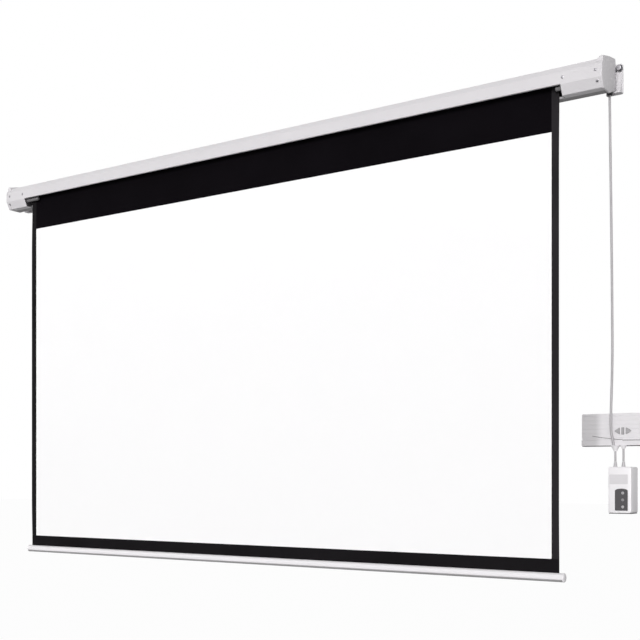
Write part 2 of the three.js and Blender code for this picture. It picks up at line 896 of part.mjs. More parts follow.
// Plate across the inside of the case, with a riveted tab against the front of it
function crossPlate(from, tabFrom, rivetAt, hole) {
  const plate = prismX(caseSection(-caseWall - clearance), from, from + plateThickness, [hole]);
  const tabFront = caseFront + caseWall + clearance;
  const tabLow = rivetHeight - plateTabHeight / 2;
  const tab = block(
    [tabFrom, tabFront, tabLow],
    [tabFrom + plateTab + plateThickness, tabFront + plateTabThickness, tabLow + plateTabHeight],
  );
  const rivetHole = rod(
    'y',
    screwShaftRadius + clearance,
    tabFront - overrun,
    tabFront + plateTabThickness + overrun,
    [rivetAt, rivetHeight],
    smallSides,
  );
  return cut(joined(plate, tab), rivetHole);
}

function idlerEnd() {
  const plateFrom = -idlerPlateEnd - plateThickness;
  const pinHole = circle(idlerPinRadius + clearance, rollerY, rollerHeight);
  const plate = crossPlate(plateFrom, plateFrom - plateTab, rivetX.left, pinHole);
  const centre = [rollerY, rollerHeight];
  const pinHead = rod('x', idlerPinHeadRadius, plateFrom - idlerPinHeadThickness, plateFrom, centre);
  const pinFrom = plateFrom - idlerPinHeadThickness / 2;
  const pin = rod('x', idlerPinRadius, pinFrom, plateFrom + idlerPinReach, centre);
  const group = new THREE.Group();
  group.add(piece('bearing_plate_left', plate, zincSteel));
  group.add(piece('idler_pin', joined(pinHead, pin), darkSteel));
  return group;
}

// Tubular motor: casing in the roller, head outside it, its plate and the lead to the gland
function motorEnd() {
  const centre = [rollerY, rollerHeight];
  const casingStart = motorHeadStart - motorLength;
  const casing = cut(
    rod('x', motorRadius, casingStart, motorHeadStart, centre, largeSides),
    rod('x', driveShaftRadius + clearance, casingStart - overrun, casingStart + driveShaftSocket, centre),
  );
  const headLow = rollerHeight - motorHeadRadius;
  const screwHoles = limitScrewPlaces().map(({ x }) => rod(
    'z',
    limitScrewRadius + clearance,
    headLow - overrun,
    headLow - limitScrewProud + limitScrewLength + clearance,
    [x, rollerY],
    screwSides,
  ));
  const headBody = rod('x', motorHeadRadius, motorHeadStart, motorPlateStart, centre, largeSides);
  const head = cut(headBody, ...screwHoles);
  const leadY = rollerY + leadHoleOffset;
  const leadHole = circle(leadRadius + clearance, leadY, rollerHeight, screwSides);
  const plate = crossPlate(motorPlateStart, motorPlateStart - plateTab, rivetX.right, leadHole);
  const nutTop = glandNutLow() + glandNutThickness;
  const glandX = caseRight - glandInset;
  const lead = tube([
    [motorPlateStart + clearance, leadY, rollerHeight],
    [motorPlateStart + plateThickness + leadRadius * 2, leadY, rollerHeight],
    ...leadTurnShares.map(([along, across, rise]) => [
      motorPlateStart + (glandX - motorPlateStart) * along,
      leadY - (leadY + glandFromWall) * across,
      rollerHeight + leadRadius * rise,
    ]),
    ...leadDropShares.map((rise) => [glandX, -glandFromWall, nutTop + leadRadius * rise]),
    [glandX, -glandFromWall, nutTop + clearance],
  ], leadRadius, wireSides, leadSteps);
  const group = new THREE.Group();
  group.add(piece('motor_casing', casing, zincSteel));
  group.add(piece('motor_head', head, blackPlastic));
  group.add(piece('motor_plate_right', plate, zincSteel));
  group.add(piece('motor_lead', lead, cableSkin));
  return group;
}

function limitScrewPlaces() {
  const middle = (motorHeadStart + motorPlateStart) / 2;
  return [
    { name: 'limit_screw_lower', x: middle - limitScrewPitch / 2 },
    { name: 'limit_screw_upper', x: middle + limitScrewPitch / 2 },
  ];
}

// Setting screws in the underside of the motor's head, each with a six-sided socket
function limitScrews() {
  const low = rollerHeight - motorHeadRadius - limitScrewProud;
  return limitScrewPlaces().map(({ name, x }) => {
    const body = rod('z', limitScrewRadius, 0, limitScrewLength, [0, 0], screwSides);
    const hexagon = rod('z', limitScrewHexRadius, -overrun, limitScrewLength / 2, [0, 0], hexSides);
    const screw = piece(name, cut(body, hexagon), capPlastic);
    screw.position.set(x, rollerY, low);
    return screw;
  });
}

// Underside of the gland's nut, which lies on the back bevel's inner face
function glandNutLow() {
  return backBevelHeightAt(glandNutRadius - glandFromWall, -caseWall - clearance);
}

function cableGland() {
  const nutLow = glandNutLow();
  const collarTop = backBevelHeightAt(-glandFromWall - glandNutRadius, clearance);
  const shape = turned([
    [0, collarTop - glandCollarHeight],
    [glandShankRadius, collarTop - glandCollarHeight],
    [glandNutRadius, collarTop - glandCollarHeight / 2],
    [glandNutRadius, collarTop],
    [glandShankRadius, collarTop],
    [glandShankRadius, nutLow],
    [glandNutRadius, nutLow],
    [glandNutRadius, nutLow + glandNutThickness],
    [0, nutLow + glandNutThickness],
  ]);
  const gland = piece('cable_gland', shape, blackPlastic);
  gland.position.set(caseRight - glandInset, -glandFromWall, 0);
  return gland;
}

// Spiral of cloth left on the roller: it ends at the front, where the hanging cloth goes on down
function leaderWrap() {
  const steps = wrapTurns * wrapStepsPerTurn;
  const side = (shift) => Array.from({ length: steps + 1 }, (_, step) => {
    const turn = step / wrapStepsPerTurn;
    const angle = Math.PI - 2 * Math.PI * turn;
    const radius = wrapOuter - wrapPitch * turn + shift;
    return [rollerY + radius * Math.cos(angle), rollerHeight + radius * Math.sin(angle)];
  });
  const outline = [...side(clothThickness / 2), ...side(-clothThickness / 2).reverse()];
  return piece('leader_wrap', prismX(outline, -clothWidth / 2, clothWidth / 2), blackCloth);
}

// Notched wheel that the motor's shaft turns the tube by; the shaft is pressed into it
function driveWheelShape(from, to) {
  const rim = rod('x', rollerBore - clearance, from, to, [rollerY, rollerHeight], largeSides);
  const notches = Array.from({ length: driveWheelNotches }, (_, i) => {
    const angle = (2 * Math.PI * i) / driveWheelNotches;
    const centre = [rollerY + rollerBore * Math.cos(angle), rollerHeight + rollerBore * Math.sin(angle)];
    return rod('x', driveWheelNotchDepth, from - overrun, to + overrun, centre, smallSides);
  });
  return cut(rim, ...notches);
}

// The tube and all that turns with it
function roller() {
  const centre = [rollerY, rollerHeight];
  const barrel = prismX(
    circle(rollerRadius, rollerY, rollerHeight, largeSides),
    -rollerHalf,
    rollerHalf,
    [circle(rollerBore, rollerY, rollerHeight, largeSides)],
  );
  const plugEnd = idlerPlugLength - rollerHalf;
  const flangeEnd = -rollerHalf - idlerFlangeThickness;
  const plugSleeve = rod('x', rollerBore - clearance, -rollerHalf, plugEnd, centre, largeSides);
  const plugFlange = rod('x', rollerRadius, flangeEnd, -rollerHalf, centre, largeSides);
  const plugBore = rod('x', idlerBore, flangeEnd - overrun, plugEnd + overrun, centre);
  const crown = prismX(
    circle(rollerBore - clearance, rollerY, rollerHeight, largeSides),
    rollerHalf - crownInset - crownLength,
    rollerHalf - crownInset,
    [circle(motorRadius + clearance, rollerY, rollerHeight, largeSides)],
  );
  const casingStart = motorHeadStart - motorLength;
  const shaftEnd = casingStart + driveShaftSocket - driveShaftEndGap;
  const shaft = rod('x', driveShaftRadius, shaftEnd - driveShaftLength, shaftEnd, centre);
  const wheelEnd = casingStart - driveWheelInset;
  const group = new THREE.Group();
  group.add(piece('roller_tube', barrel, rollerMetal));
  group.add(piece('idler_plug', cut(joined(plugFlange, plugSleeve), plugBore), blackPlastic));
  group.add(piece('crown_ring', crown, blackPlastic));
  const wheel = joined(driveWheelShape(wheelEnd - driveWheelLength, wheelEnd), shaft);
  group.add(piece('drive_wheel', wheel, blackPlastic));
  group.add(leaderWrap());
  return group;
}

// The hanging cloth: a black sheet from the roller to the bottom band, with the white picture on it
function cloth() {
  const half = clothWidth / 2;
  const clothFront = -clothFromWall - clothThickness / 2;
  const faceBack = clothFront - layerGap;
  const backing = block([-half, clothFront, -pictureBottom], [half, clothBack, rollerHeight - clearance]);
  const face = block(
    [-pictureWidth / 2, faceBack - faceThickness, -pictureBottom],
    [pictureWidth / 2, faceBack, -pictureDrop],
  );
  const group = new THREE.Group();
  group.add(piece('screen_backing', backing, blackCloth));
  group.add(piece('screen_face', face, whiteCloth));
  return group;
}

// Round bar with a mouth along its top, and the bottom band whose bead it holds
function bottomBar() {
  const mouth = block(
    [-barHalf - overrun, -barMouth / 2 - clothFromWall, barHeight],
    [barHalf + overrun, barMouth / 2 - clothFromWall, barHeight + barRadius + overrun],
  );
  const barTube = prismX(
    circle(barRadius, -clothFromWall, barHeight, barSides),
    -barHalf,
    barHalf,
    [circle(barRadius - barWall, -clothFromWall, barHeight, barSides)],
  );
  const half = clothWidth / 2;
  const band = block(
    [-half, -clothFromWall - clothThickness / 2, barHeight],
    [half, clothBack, -pictureBottom - clearance],
  );
  const bead = rod('x', barBeadRadius, -half, half, [-clothFromWall, barHeight], smallSides);
  const group = new THREE.Group();
  group.add(piece('weight_bar', cut(barTube, mouth), whitePaint));
  group.add(piece('screen_hem', joined(band, bead), blackCloth));
  const capProfile = [
    [0, -barCapPlug],
    [barRadius - barWall - clearance, -barCapPlug],
    [barRadius - barWall - clearance, 0],
    [barRadius + barCapLip, 0],
    [barRadius + barCapLip, barCapDome * barCapRimShare],
    ...domed(barCapShares, barRadius, 0, barCapDome),
    [0, barCapDome],
  ];
  for (const [side, outwards] of [['left', -1], ['right', 1]]) {
    const cap = piece(`bar_cap_${side}`, turned(capProfile, barSides), whitePlastic);
    cap.quaternion.setFromUnitVectors(new THREE.Vector3(0, 0, 1), new THREE.Vector3(outwards, 0, 0));
    cap.position.set(outwards * barHalf, -clothFromWall, barHeight);
    group.add(cap);
  }
  return group;
}

// Outline of a station key about its middle: an arrow pointing left or right, or an upright bar
function keyOutline(kind, growth) {
  const half = keyHeight / 2;
  const reach = keyArrowLength / 2;
  const outlines = {
    left: [[-reach, 0], [reach, -half], [reach, half]],
    stop: rectangle(-keyBarWidth / 2, -half, keyBarWidth / 2, half),
    right: [[reach, 0], [-reach, half], [-reach, -half]],
  };
  return rounded(grown(outlines[kind], growth), keyCornerRadius);
}

const keyKinds = ['left', 'stop', 'right'];

function keyX(kind) {
  return (keyKinds.indexOf(kind) - 1) * keySpacing;
}

function shifted(outline, x, z) {
  return outline.map(([a, b]) => [a + x, b + z]);
}

function stationCover() {
  const half = stationWidth / 2;
  const low = clearance + ledgeHeight - stationHeight;
  const front = -stationDepth;
  const outline = rounded(rectangle(-half, low, half, 0), stationCornerRadius);
  const pocket = rounded(
    rectangle(-half + stationWall, low + stationWall, half - stationWall, -stationWall),
    stationCornerRadius - stationWall / 2,
  );
  const tray = cut(
    prismY(outline, front, -stationPlate),
    prismY(pocket, front + stationWall, -stationPlate + overrun),
  );
  const keyHoles = keyKinds.map((kind) => prismY(
    shifted(keyOutline(kind, clearance), keyX(kind), -keyDrop + keyHeight),
    front - overrun,
    front + stationWall + overrun,
  ));
  const grooves = [];
  for (let z = -ribEdge; z > low + ribEdge / 2; z -= ribPitch) {
    grooves.push(block(
      [-half - overrun, front - overrun, z - ribGroove],
      [half + overrun, front + ribGrooveDepth, z],
    ));
  }
  return piece('station_cover', cut(tray, ...grooves, ...keyHoles), whitePlastic);
}

function stationBase() {
  const half = stationWidth / 2;
  const ledgeTop = ledgeHeight - stationHeight;
  const plate = prismY(
    rounded(rectangle(-half, ledgeTop - overrun, half, 0), stationCornerRadius),
    -stationPlate,
    0,
  );
  const ledge = cut(
    block([-half, -ledgeDepth, -stationHeight], [half, 0, ledgeTop]),
    block(
      [-half + ledgeWall, -ledgeDepth + ledgeWall, -stationHeight + ledgeWall],
      [half - ledgeWall, overrun, ledgeTop - ledgeWall],
    ),
  );
  const postTip = -stationBoardDepth + boardThickness + clearance;
  const posts = [-1, 1].map((side) => {
    const x = side * (stationBoardWidth / 2 - postSize);
    const z = keyHeight - keyDrop;
    return block(
      [x - postSize / 2, postTip, z - postSize / 2],
      [x + postSize / 2, -stationPlate / 2, z + postSize / 2],
    );
  });
  return piece('station_base', joined(plate, ledge, ...posts), whitePlastic);
}

function stationBoard() {
  const z = keyHeight - keyDrop;
  const front = -stationBoardDepth;
  const card = block(
    [-stationBoardWidth / 2, front, z - stationBoardHeight / 2],
    [stationBoardWidth / 2, front + boardThickness, z + stationBoardHeight / 2],
  );
  const half = stationSwitchSize / 2;
  const switches = keyKinds.map((kind) => block(
    [keyX(kind) - half, front - stationSwitchHeight, z - half],
    [keyX(kind) + half, front + boardThickness / 2, z + half],
  ));
  return piece('station_board', joined(card, ...switches), boardGreen);
}

function stationKeys() {
  const front = -stationDepth;
  return keyKinds.map((kind) => {
    const flangeFront = front + stationWall + clearance;
    const shape = joined(
      prismY(keyOutline(kind, 0), front - keyProud, front - keyProud + keyStem - stationSwitchHeight),
      prismY(keyOutline(kind, keyFlange), flangeFront, flangeFront + keyFlangeThickness),
    );
    const key = piece(`station_key_${kind}`, shape, greyPlastic);
    key.position.set(keyX(kind), 0, keyHeight - keyDrop);
    return key;
  });
}

function station() {
  const group = new THREE.Group();
  group.position.set(stationCentre, 0, -stationTop);
  group.add(stationBase(), stationCover(), stationBoard(), ...stationKeys());
  const cones = [
    ['station_relief_1', coneOneX, coneOneRadius, coneOneHeight],
    ['station_relief_2', coneTwoX, coneTwoRadius, coneTwoHeight],
  ];
  for (const [name, x, radius, height] of cones) {
    const tip = receiverLeadRadius + ledgeWall / 2;
    const cone = piece(name, turned([[0, -height], [tip, -height], [radius, 0], [0, 0]]), whitePlastic);
    cone.position.set(x - stationCentre, -leadFromWall, -stationHeight);
    group.add(cone);
  }
  return group;
}

// Receiver halves: trays that meet edge to edge half way back
function receiverRing(y, inset) {
  const half = receiverWidth / 2 - inset;
  const outline = rounded(
    rectangle(-half, inset - receiverHeight, half, -inset),
    receiverCornerRadius,
    softCornerSteps,
  );
  return outline.map(([x, z]) => [x, y, z]);
}

function receiverPocket(from, to) {
  return prismY(
    rounded(
      rectangle(
        receiverWall - receiverWidth / 2,
        receiverWall - receiverHeight,
        receiverWidth / 2 - receiverWall,
        -receiverWall,
      ),
      receiverCornerRadius - receiverWall,
      softCornerSteps,
    ),
    from,
    to,
  );
}

const buttonKinds = ['down', 'stop', 'up'];

function buttonPlace(kind) {
  const x = panelOffset + buttonOffset;
  const z = panelRise + buttonRise + buttonKinds.indexOf(kind) * buttonSpacing - receiverHeight;
  return [x, z];
}

function buttonHoles(from, to) {
  return buttonKinds.map((kind) => rod('y', buttonRadius + clearance, from, to, buttonPlace(kind)));
}

function receiverFront() {
  const front = -receiverDepth;
  const split = front + receiverFrontDepth;
  const outside = lofted([
    receiverRing(split, 0),
    receiverRing(front + receiverEdge, 0),
    receiverRing(front + receiverEdge * receiverEdgeShare, receiverEdge * receiverEdgeShare),
    receiverRing(front, receiverEdge),
  ]);
  const pocket = receiverPocket(front + receiverWall, split + overrun);
  const shape = cut(outside, pocket, ...buttonHoles(front - overrun, front + receiverWall + overrun));
  return piece('receiver_front', shape, whitePlastic);
}

function receiverBack() {
  const split = receiverFrontDepth - receiverDepth;
  const outside = lofted([
    receiverRing(0, receiverEdge),
    receiverRing(-receiverEdge, 0),
    receiverRing(split, 0),
  ]);
  const tray = cut(outside, receiverPocket(split - overrun, -receiverWall));
  const boardBack = receiverBoardFromFront + boardThickness - receiverDepth;
  const posts = [-1, 1].map((side) => {
    const x = side * (receiverBoardWidth / 2 - postSize / 2);
    const z = postSize - receiverBoardEndMargin - receiverBoardHeight;
    return block(
      [x - postSize / 2, boardBack + clearance, z - postSize / 2],
      [x + postSize / 2, -receiverWall / 2, z + postSize / 2],
    );
  });
  return piece('receiver_back', joined(tray, ...posts), whitePlastic);
}

// Dark key panel: its two lower corners are rounded, and its top edge is an arch
function receiverPanel() {
  const half = panelWidth / 2;
  const low = panelRise - receiverHeight;
  const shoulder = low + panelHeight - panelArch;
  const corners = rounded(rectangle(-half, low, half, shoulder), panelCornerRadius);
  const outline = corners.slice(0, corners.length / 2);
  for (let step = 0; step <= archSteps; step += 1) {
    const angle = (Math.PI * step) / archSteps;
    outline.push([half * Math.cos(angle), shoulder + panelArch * Math.sin(angle)]);
  }
  const face = -receiverDepth;
  const sheet = prismY(shifted(outline, panelOffset, 0), face - panelThickness, face);
  const holes = buttonHoles(face - panelThickness - overrun, face + overrun);
  return piece('receiver_panel', cut(sheet, ...holes), panelPlastic);
}

function receiverButtons() {
  const top = -receiverDepth - panelThickness - buttonProud;
  const flangeFront = receiverWall + clearance - receiverDepth;
  return buttonKinds.map((kind) => {
    const [x, z] = buttonPlace(kind);
    const shape = joined(
      rod('y', buttonRadius, top, top + buttonStem, [0, 0]),
      rod('y', buttonRadius + buttonFlange, flangeFront, flangeFront + buttonFlangeThickness, [0, 0]),
    );
    const button = piece(`receiver_button_${kind}`, shape, greyPlastic);
    button.position.set(x, 0, z);
    return button;
  });
}

function receiverBoard() {
  const front = receiverBoardFromFront - receiverDepth;
  const back = front + boardThickness;
  const half = receiverBoardWidth / 2;
  const top = -receiverBoardEndMargin;
  const low = top - receiverBoardHeight;
  const card = block([-half, front, low], [half, back, top]);
  const seat = boardThickness / 2;
  const relayLow = (top + low) / 2;
  const relay = block(
    [-relayWidth - seat, back - seat, relayLow],
    [-seat, back + relayDepth, relayLow + relayHeight],
  );
  const capacitor = rod(
    'z',
    capacitorRadius,
    relayLow - capacitorLength / 2,
    relayLow + capacitorLength / 2,
    [relayWidth / 2, back + capacitorRadius - seat],
  );
  const terminal = block(
    [-terminalWidth / 2, back - seat, top - terminalHeight - seat],
    [terminalWidth / 2, back + terminalDepth, top - seat],
  );
  const size = receiverSwitchSize / 2;
  const switches = buttonKinds.map((kind) => {
    const [x, z] = buttonPlace(kind);
    return block([x - size, front - receiverSwitchHeight, z - size], [x + size, front + seat, z + size]);
  });
  return piece('receiver_board', joined(card, relay, capacitor, terminal, ...switches), boardGreen);
}

function receiver() {
  const group = new THREE.Group();
  group.position.set(receiverCentre, -receiverFromWall, -receiverTop);
  group.add(receiverFront(), receiverBack(), receiverPanel(), receiverBoard(), ...receiverButtons());
  for (const [number, x] of [[1, coneOneX], [2, coneTwoX]]) {
    const relief = piece(`receiver_relief_${number}`, turned([
      [0, 0],
      [reliefRadius, 0],
      ...domed([reliefBaseShares], reliefRadius, 0, reliefHeight),
      [receiverLeadRadius + reliefTipWall, reliefHeight],
      [0, reliefHeight],
    ]), whitePlastic);
    relief.position.set(x - receiverCentre, receiverFromWall - leadFromWall, 0);
    group.add(relief);
  }
  return group;
}

// The motor's cable down to the station, and the two leads on to the receiver
function cables() {
  const steps = Math.round(smoothCurve(cableRoute).getLength() / cableStep);
  const group = new THREE.Group();
  group.add(piece('motor_cable', tube(cableRoute, cableRadius, cableSides, steps), cableSkin));
  const cones = [[1, coneOneX, coneOneHeight], [2, coneTwoX, coneTwoHeight]];
  for (const [number, x, coneHeight] of cones) {
    const high = -stationTop - stationHeight - coneHeight - clearance;
    const low = -receiverTop + reliefHeight + clearance;
    const lead = rod('z', receiverLeadRadius, low, high, [x, -leadFromWall], smallSides);
    group.add(piece(`receiver_lead_${number}`, lead, cableSkin));
  }
  return group;
}

const screen = new THREE.Group();
screen.add(housingShell(), ...lowerSheets(), caseEnd('left'), caseEnd('right'));
screen.add(rivet('plate_rivet_left', rivetX.left), rivet('plate_rivet_right', rivetX.right));
screen.add(idlerEnd(), motorEnd(), ...limitScrews(), cableGland());
screen.add(roller(), cloth(), bottomBar());
screen.add(station(), receiver(), cables());

export default screen;
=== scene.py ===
from math import asin, atan2, cos, hypot, pi, radians, sin, tan

import bmesh
import bpy
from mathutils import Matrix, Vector


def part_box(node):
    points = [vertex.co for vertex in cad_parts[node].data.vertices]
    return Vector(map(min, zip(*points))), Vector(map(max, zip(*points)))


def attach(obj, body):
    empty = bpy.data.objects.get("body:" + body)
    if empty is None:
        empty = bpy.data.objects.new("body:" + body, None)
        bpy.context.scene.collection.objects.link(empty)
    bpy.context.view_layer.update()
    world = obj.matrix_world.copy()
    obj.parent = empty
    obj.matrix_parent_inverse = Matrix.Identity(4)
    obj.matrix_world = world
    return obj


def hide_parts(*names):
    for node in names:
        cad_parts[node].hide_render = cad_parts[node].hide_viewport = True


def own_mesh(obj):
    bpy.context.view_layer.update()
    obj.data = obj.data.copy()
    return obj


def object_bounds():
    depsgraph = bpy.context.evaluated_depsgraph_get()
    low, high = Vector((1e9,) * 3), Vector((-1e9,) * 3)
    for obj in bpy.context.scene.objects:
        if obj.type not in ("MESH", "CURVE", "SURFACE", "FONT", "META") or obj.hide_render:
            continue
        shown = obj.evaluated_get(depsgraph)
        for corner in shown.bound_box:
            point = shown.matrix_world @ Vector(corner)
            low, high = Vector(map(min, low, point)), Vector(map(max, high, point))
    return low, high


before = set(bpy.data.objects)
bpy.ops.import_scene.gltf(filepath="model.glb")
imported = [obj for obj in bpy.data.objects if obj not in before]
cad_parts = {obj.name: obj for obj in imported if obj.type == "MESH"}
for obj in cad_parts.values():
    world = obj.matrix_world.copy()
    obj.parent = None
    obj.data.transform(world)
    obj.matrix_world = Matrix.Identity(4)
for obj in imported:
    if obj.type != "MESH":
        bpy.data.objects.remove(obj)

CAD_LOW, CAD_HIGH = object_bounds()

# Camera at the photograph's viewing angle: level, turned to the left, with its frame shifted up
CAMERA_PLACE = (1.963, -2.602, -0.958)
CAMERA_TURN = radians(34.30)
CAMERA_LENS = 61.155
CAMERA_SENSOR = 36.0
CAMERA_SHIFT = 0.2425

# Light and stage
WHITE = (1, 1, 1, 1)
FLOOR_DROP = 0.9
FLOOR_REACH = 40.0
FLOOR_COLOUR = (0.78, 0.78, 0.78)
FLOOR_ROUGHNESS = 0.9
FLOOR_GLOW_SHARE = 0.97
AMBIENT_FRONT = 0.437
AMBIENT_BACK = 0.283
KEY_STRENGTH = 2.65
KEY_ANGLE = radians(24)
KEY_DIRECTION = (-0.30, 0.95, -0.07)

# Motor cable: the route that the CAD solid follows, in metres
CABLE_DIAMETER = 0.006
CABLE_FROM_WALL = 0.026
CABLE_STEPS = 6
CABLE_ROUTE = [
    (x, -CABLE_FROM_WALL, z)
    for x, z in (
        (1.0570, -0.03738), (1.0570, -0.056), (1.0574, -0.080), (1.0580, -0.130),
        (1.0588, -0.190), (1.0598, -0.260), (1.0608, -0.340), (1.0618, -0.420),
        (1.0626, -0.500), (1.0632, -0.580), (1.0635, -0.650), (1.0628, -0.710),
        (1.0614, -0.760), (1.0602, -0.800), (1.0598, -0.825), (1.0600, -0.843),
        (1.0612, -0.857), (1.0636, -0.869), (1.0656, -0.879), (1.0662, -0.8857),
    )
]

# Case section and its sheet
TOP_FRONT_CHAMFER = 0.013
TOP_FRONT_CHAMFER_HEIGHT = 0.017
TOP_BACK_CHAMFER = 0.014
FRONT_BEVEL_HEIGHT = 0.024
FRONT_BEVEL_DEPTH = 0.012
BACK_BEVEL_HEIGHT = 0.0175
BACK_BEVEL_DEPTH = 0.042
CASE_FOLD_RADIUS = 0.003
CASE_FOLD_STEPS = 6
CASE_SHEET = 0.0012
SLOT_HEIGHT = 0.025
SLOT_BACK = -0.076
SLOT_FOLD_RADIUS = 0.0015
SLOT_FLANGE = 0.0045
SLOT_FOLD_STEPS = 3
SLOT_END_SPAN = 0.002

# Room between pieces that touch on the real object
FIT = 0.0003

# Guide pins in the ends of the slot, in front of the cloth
GUIDE_RADIUS = 0.0055
GUIDE_FROM_WALL = 0.0925
GUIDE_HEIGHT = -0.019
GUIDE_END_LEFT = -0.905
GUIDE_END_RIGHT = 0.946
GUIDE_ROUND = 0.002

# Screws, rivets, pegs and hooks. A crown's pair is the step of its curve, in degrees, and its
# number of points.
SCREW_HEAD_RADIUS = 0.0036
SCREW_HEAD_HEIGHT = 0.0018
SCREW_SHAFT_RADIUS = 0.0017
SCREW_SHAFT = 0.007
SCREW_SLOT = 0.001
SCREW_SLOT_DEPTH = 0.0009
SCREW_SLOT_REACH = 0.62
SCREW_SLOT_FLARE = (0.6, 1.1)
SCREW_RIM_SHARE = 0.35
SCREW_CROWN = (15, 6)
UPPER_SCREW_INSET = 0.012
UPPER_SCREW_HEIGHT = 0.002
LOWER_SCREW_INSET = 0.009
LOWER_SCREW_RISE = 0.0155
WALL_SCREW_HEAD_RADIUS = 0.005
WALL_SCREW_HEAD_HEIGHT = 0.0024
WALL_SCREW_SHAFT_RADIUS = 0.0022
WALL_SCREW_OFFSET = -0.012
WALL_SCREW_HEIGHT = -0.020
BRACKET_THICKNESS = 0.003
RIVET_RADIUS = 0.004
RIVET_HEIGHT = 0.0014
RIVET_SHAFT = 0.005
RIVET_RIM_SHARE = 0.2
RIVET_CROWN = (12, 8)
PEG_OFFSET = 0.010
PEG_HEIGHT = 0.032
PEG_RADIUS = 0.005
PEG_LENGTH = 0.0077
PEG_HEAD_RADIUS = 0.0065
PEG_HEAD = 0.0025
PEG_HEAD_ROUND = PEG_HEAD * 0.4
PEG_SHANK_RADIUS = 0.0025
HOOK_WIRE = 0.00175
HOOK_FOOT_INSET = 0.014
HOOK_FOOT_HEIGHT = 0.010
HOOK_FOOT_RADIUS = 0.006
HOOK_FOOT = 0.0015
HOOK_FOOT_SHARES = (0.9, 0.6)
HOOK_NECK_SHARE = 0.25
HOOK_MOUTH_SHARE = 1.25
HOOK_ARC_START = 1.02 * pi
HOOK_ARC_SWEEP = 1.5 * pi
HOOK_ARC_STEPS = 9
HOOK_STEPS = 5
HOOK_SIDES = 16

# Cable gland
GLAND_INSET = 0.007
GLAND_RADIUS = 0.007
GLAND_SHANK_RADIUS = 0.005
GLAND_RIBS = 12
GLAND_RIB_DEPTH = 0.00035
GLAND_RIB_START = 1.1
GLAND_COLLAR = 0.006
GLAND_NUT = 0.004
GLAND_EDGE = 0.0004
GLAND_MOUTH = (0.9, 0.0006)
GLAND_DOME_RISE = 0.003
GLAND_DOME_HEIGHT = 0.0018
GLAND_DOME_SHARE = 0.78
GLAND_DOME = (15, 7)
GLAND_SIDES = 72

# Roller
ROLLER_RADIUS = 0.025
ROLLER_WALL = 0.0015
ROLLER_STEPS = 96
PLUG_BEVEL = 0.0006

# Hanging cloth
CLOTH_PLANE = -0.0801
CLOTH_HALF_THICKNESS = 0.00025
HEM_GAP = 0.00003
EDGE_CURL = 0.0022
EDGE_CURL_START = -0.070
EDGE_CURL_FADE = 0.14
EDGE_COLUMNS = 8
FACE_COLUMNS = 30
TOP_ROWS = 14
FACE_ROWS = 40

# Bottom band and bar
BAR_RADIUS = 0.011
BAR_WALL = 0.0012
BAR_MOUTH = 0.002
BAR_STEPS = 60
BEAD_RADIUS = 0.0025
WELD_WIDTH = 0.006
WELD_DROP = 0.004
WELD_RISE = 0.00015
BAR_CAP_DOME = 0.005
BAR_CAP_PLUG = 0.009
BAR_CAP_LIP = 0.0004
BAR_CAP_RIM_SHARE = 0.25
BAR_CAP_CROWN = (9, 10)
BEAD_SIDES = 24

# Cones, reliefs, buttons and leads of the station and the receiver
LEAD_RADIUS = 0.0025
BUTTON_RADIUS = 0.0034
BUTTON_FLANGE_RADIUS = 0.0046
BUTTON_FLANGE_DROP = 0.0033
BUTTON_FLANGE = 0.001
BUTTON_CROWN = 0.0008
BUTTON_CROWN_BEND = 0.6
BUTTON_CROWN_TURNS = (11, 8)
RELIEF_RIBS = 4
RELIEF_RIB_SHARE = 0.86
RELIEF_FOOT_SHARE = 0.12
RELIEF_SPAN = (0.2, 0.95)
RELIEF_STEP = 0.06
RELIEF_TIP_WALL = 0.0008
CONE_TIP_WALL = 0.0015
CONE_BEND = 1.15
CONE_STEPS = 8
KEY_BEVEL = 0.0004
LEAD_STEPS = 6
LEAD_SIDES = 32
# Dark strips under the station and the receiver that paint the shade along their bottom edges
STRIP_HEIGHT = 0.0017
STRIP_INSET = 0.001
# Painted shadow line along the station's seam and the edge of its ledge
SEAM_START = (1.011, -0.8620)
SEAM_END = (1.087, -0.8716)
SEAM_BEND = 1.5
SEAM_STEPS = 12
SEAM_WIDTH = 0.0012
SEAM_PROUD = 0.0002
LEDGE_SEAM_HEIGHT = -0.8737
PLATE_WIDTH = 0.045
PLATE_HEIGHT = 0.023
PLATE_DROP = 0.018
PLATE_OFFSET = -0.0025
PLATE_THICKNESS = 0.0004
PLATE_CORNER = 0.0015
PLATE_BEVEL = 0.0001
STRIP_ROUND_STEPS = 4

# Finishes: their patterns, and where painted shade darkens them
NOISE_SPAN = (0.25, 0.75)
NOISE_DETAIL = 3.0
NOISE_ROUGHNESS = 0.55
GRAIN_DETAIL = 4.0
FINE_DETAIL = 5.0
DRAWN_STRETCH = (0.04, 1, 1)
WEAVE_DISTORTION = 0.6
WEAVE_DETAIL = 1.0
WEAVE_GRAIN = 1.7
TRACK_GAP = 0.06
TRACK_ROW = 0.35
# Painted shade: the cloth's border darkens towards the left, so the right border looks as if it
# caught more light
BORDER_LEFT_SHADE_SHARE = 0.55
BORDER_SHADE_FADE = ("X", -0.93, 0.93)
# Painted shade: the bar's underside is darker, as if in shadow
BAR_UNDER_SHADE_SHARE = 0.40
BAR_UNDER_SHADE = ("Z", -1.2142, -1.2110)
# Painted shade: the case's underside is darker towards the back
CASE_UNDER_SHADE_SHARE = 0.47
CASE_UNDER_SHADE_HEIGHT = ("Z", -0.0300, -0.0230)
CASE_UNDER_SHADE_DEPTH = ("Y", -0.074, -0.079)
# Painted shade: the station's left end is darker, as if in shadow
STATION_END_SHADE_SHARE = 0.72
STATION_END_SHADE = ("X", 1.016, 1.038)

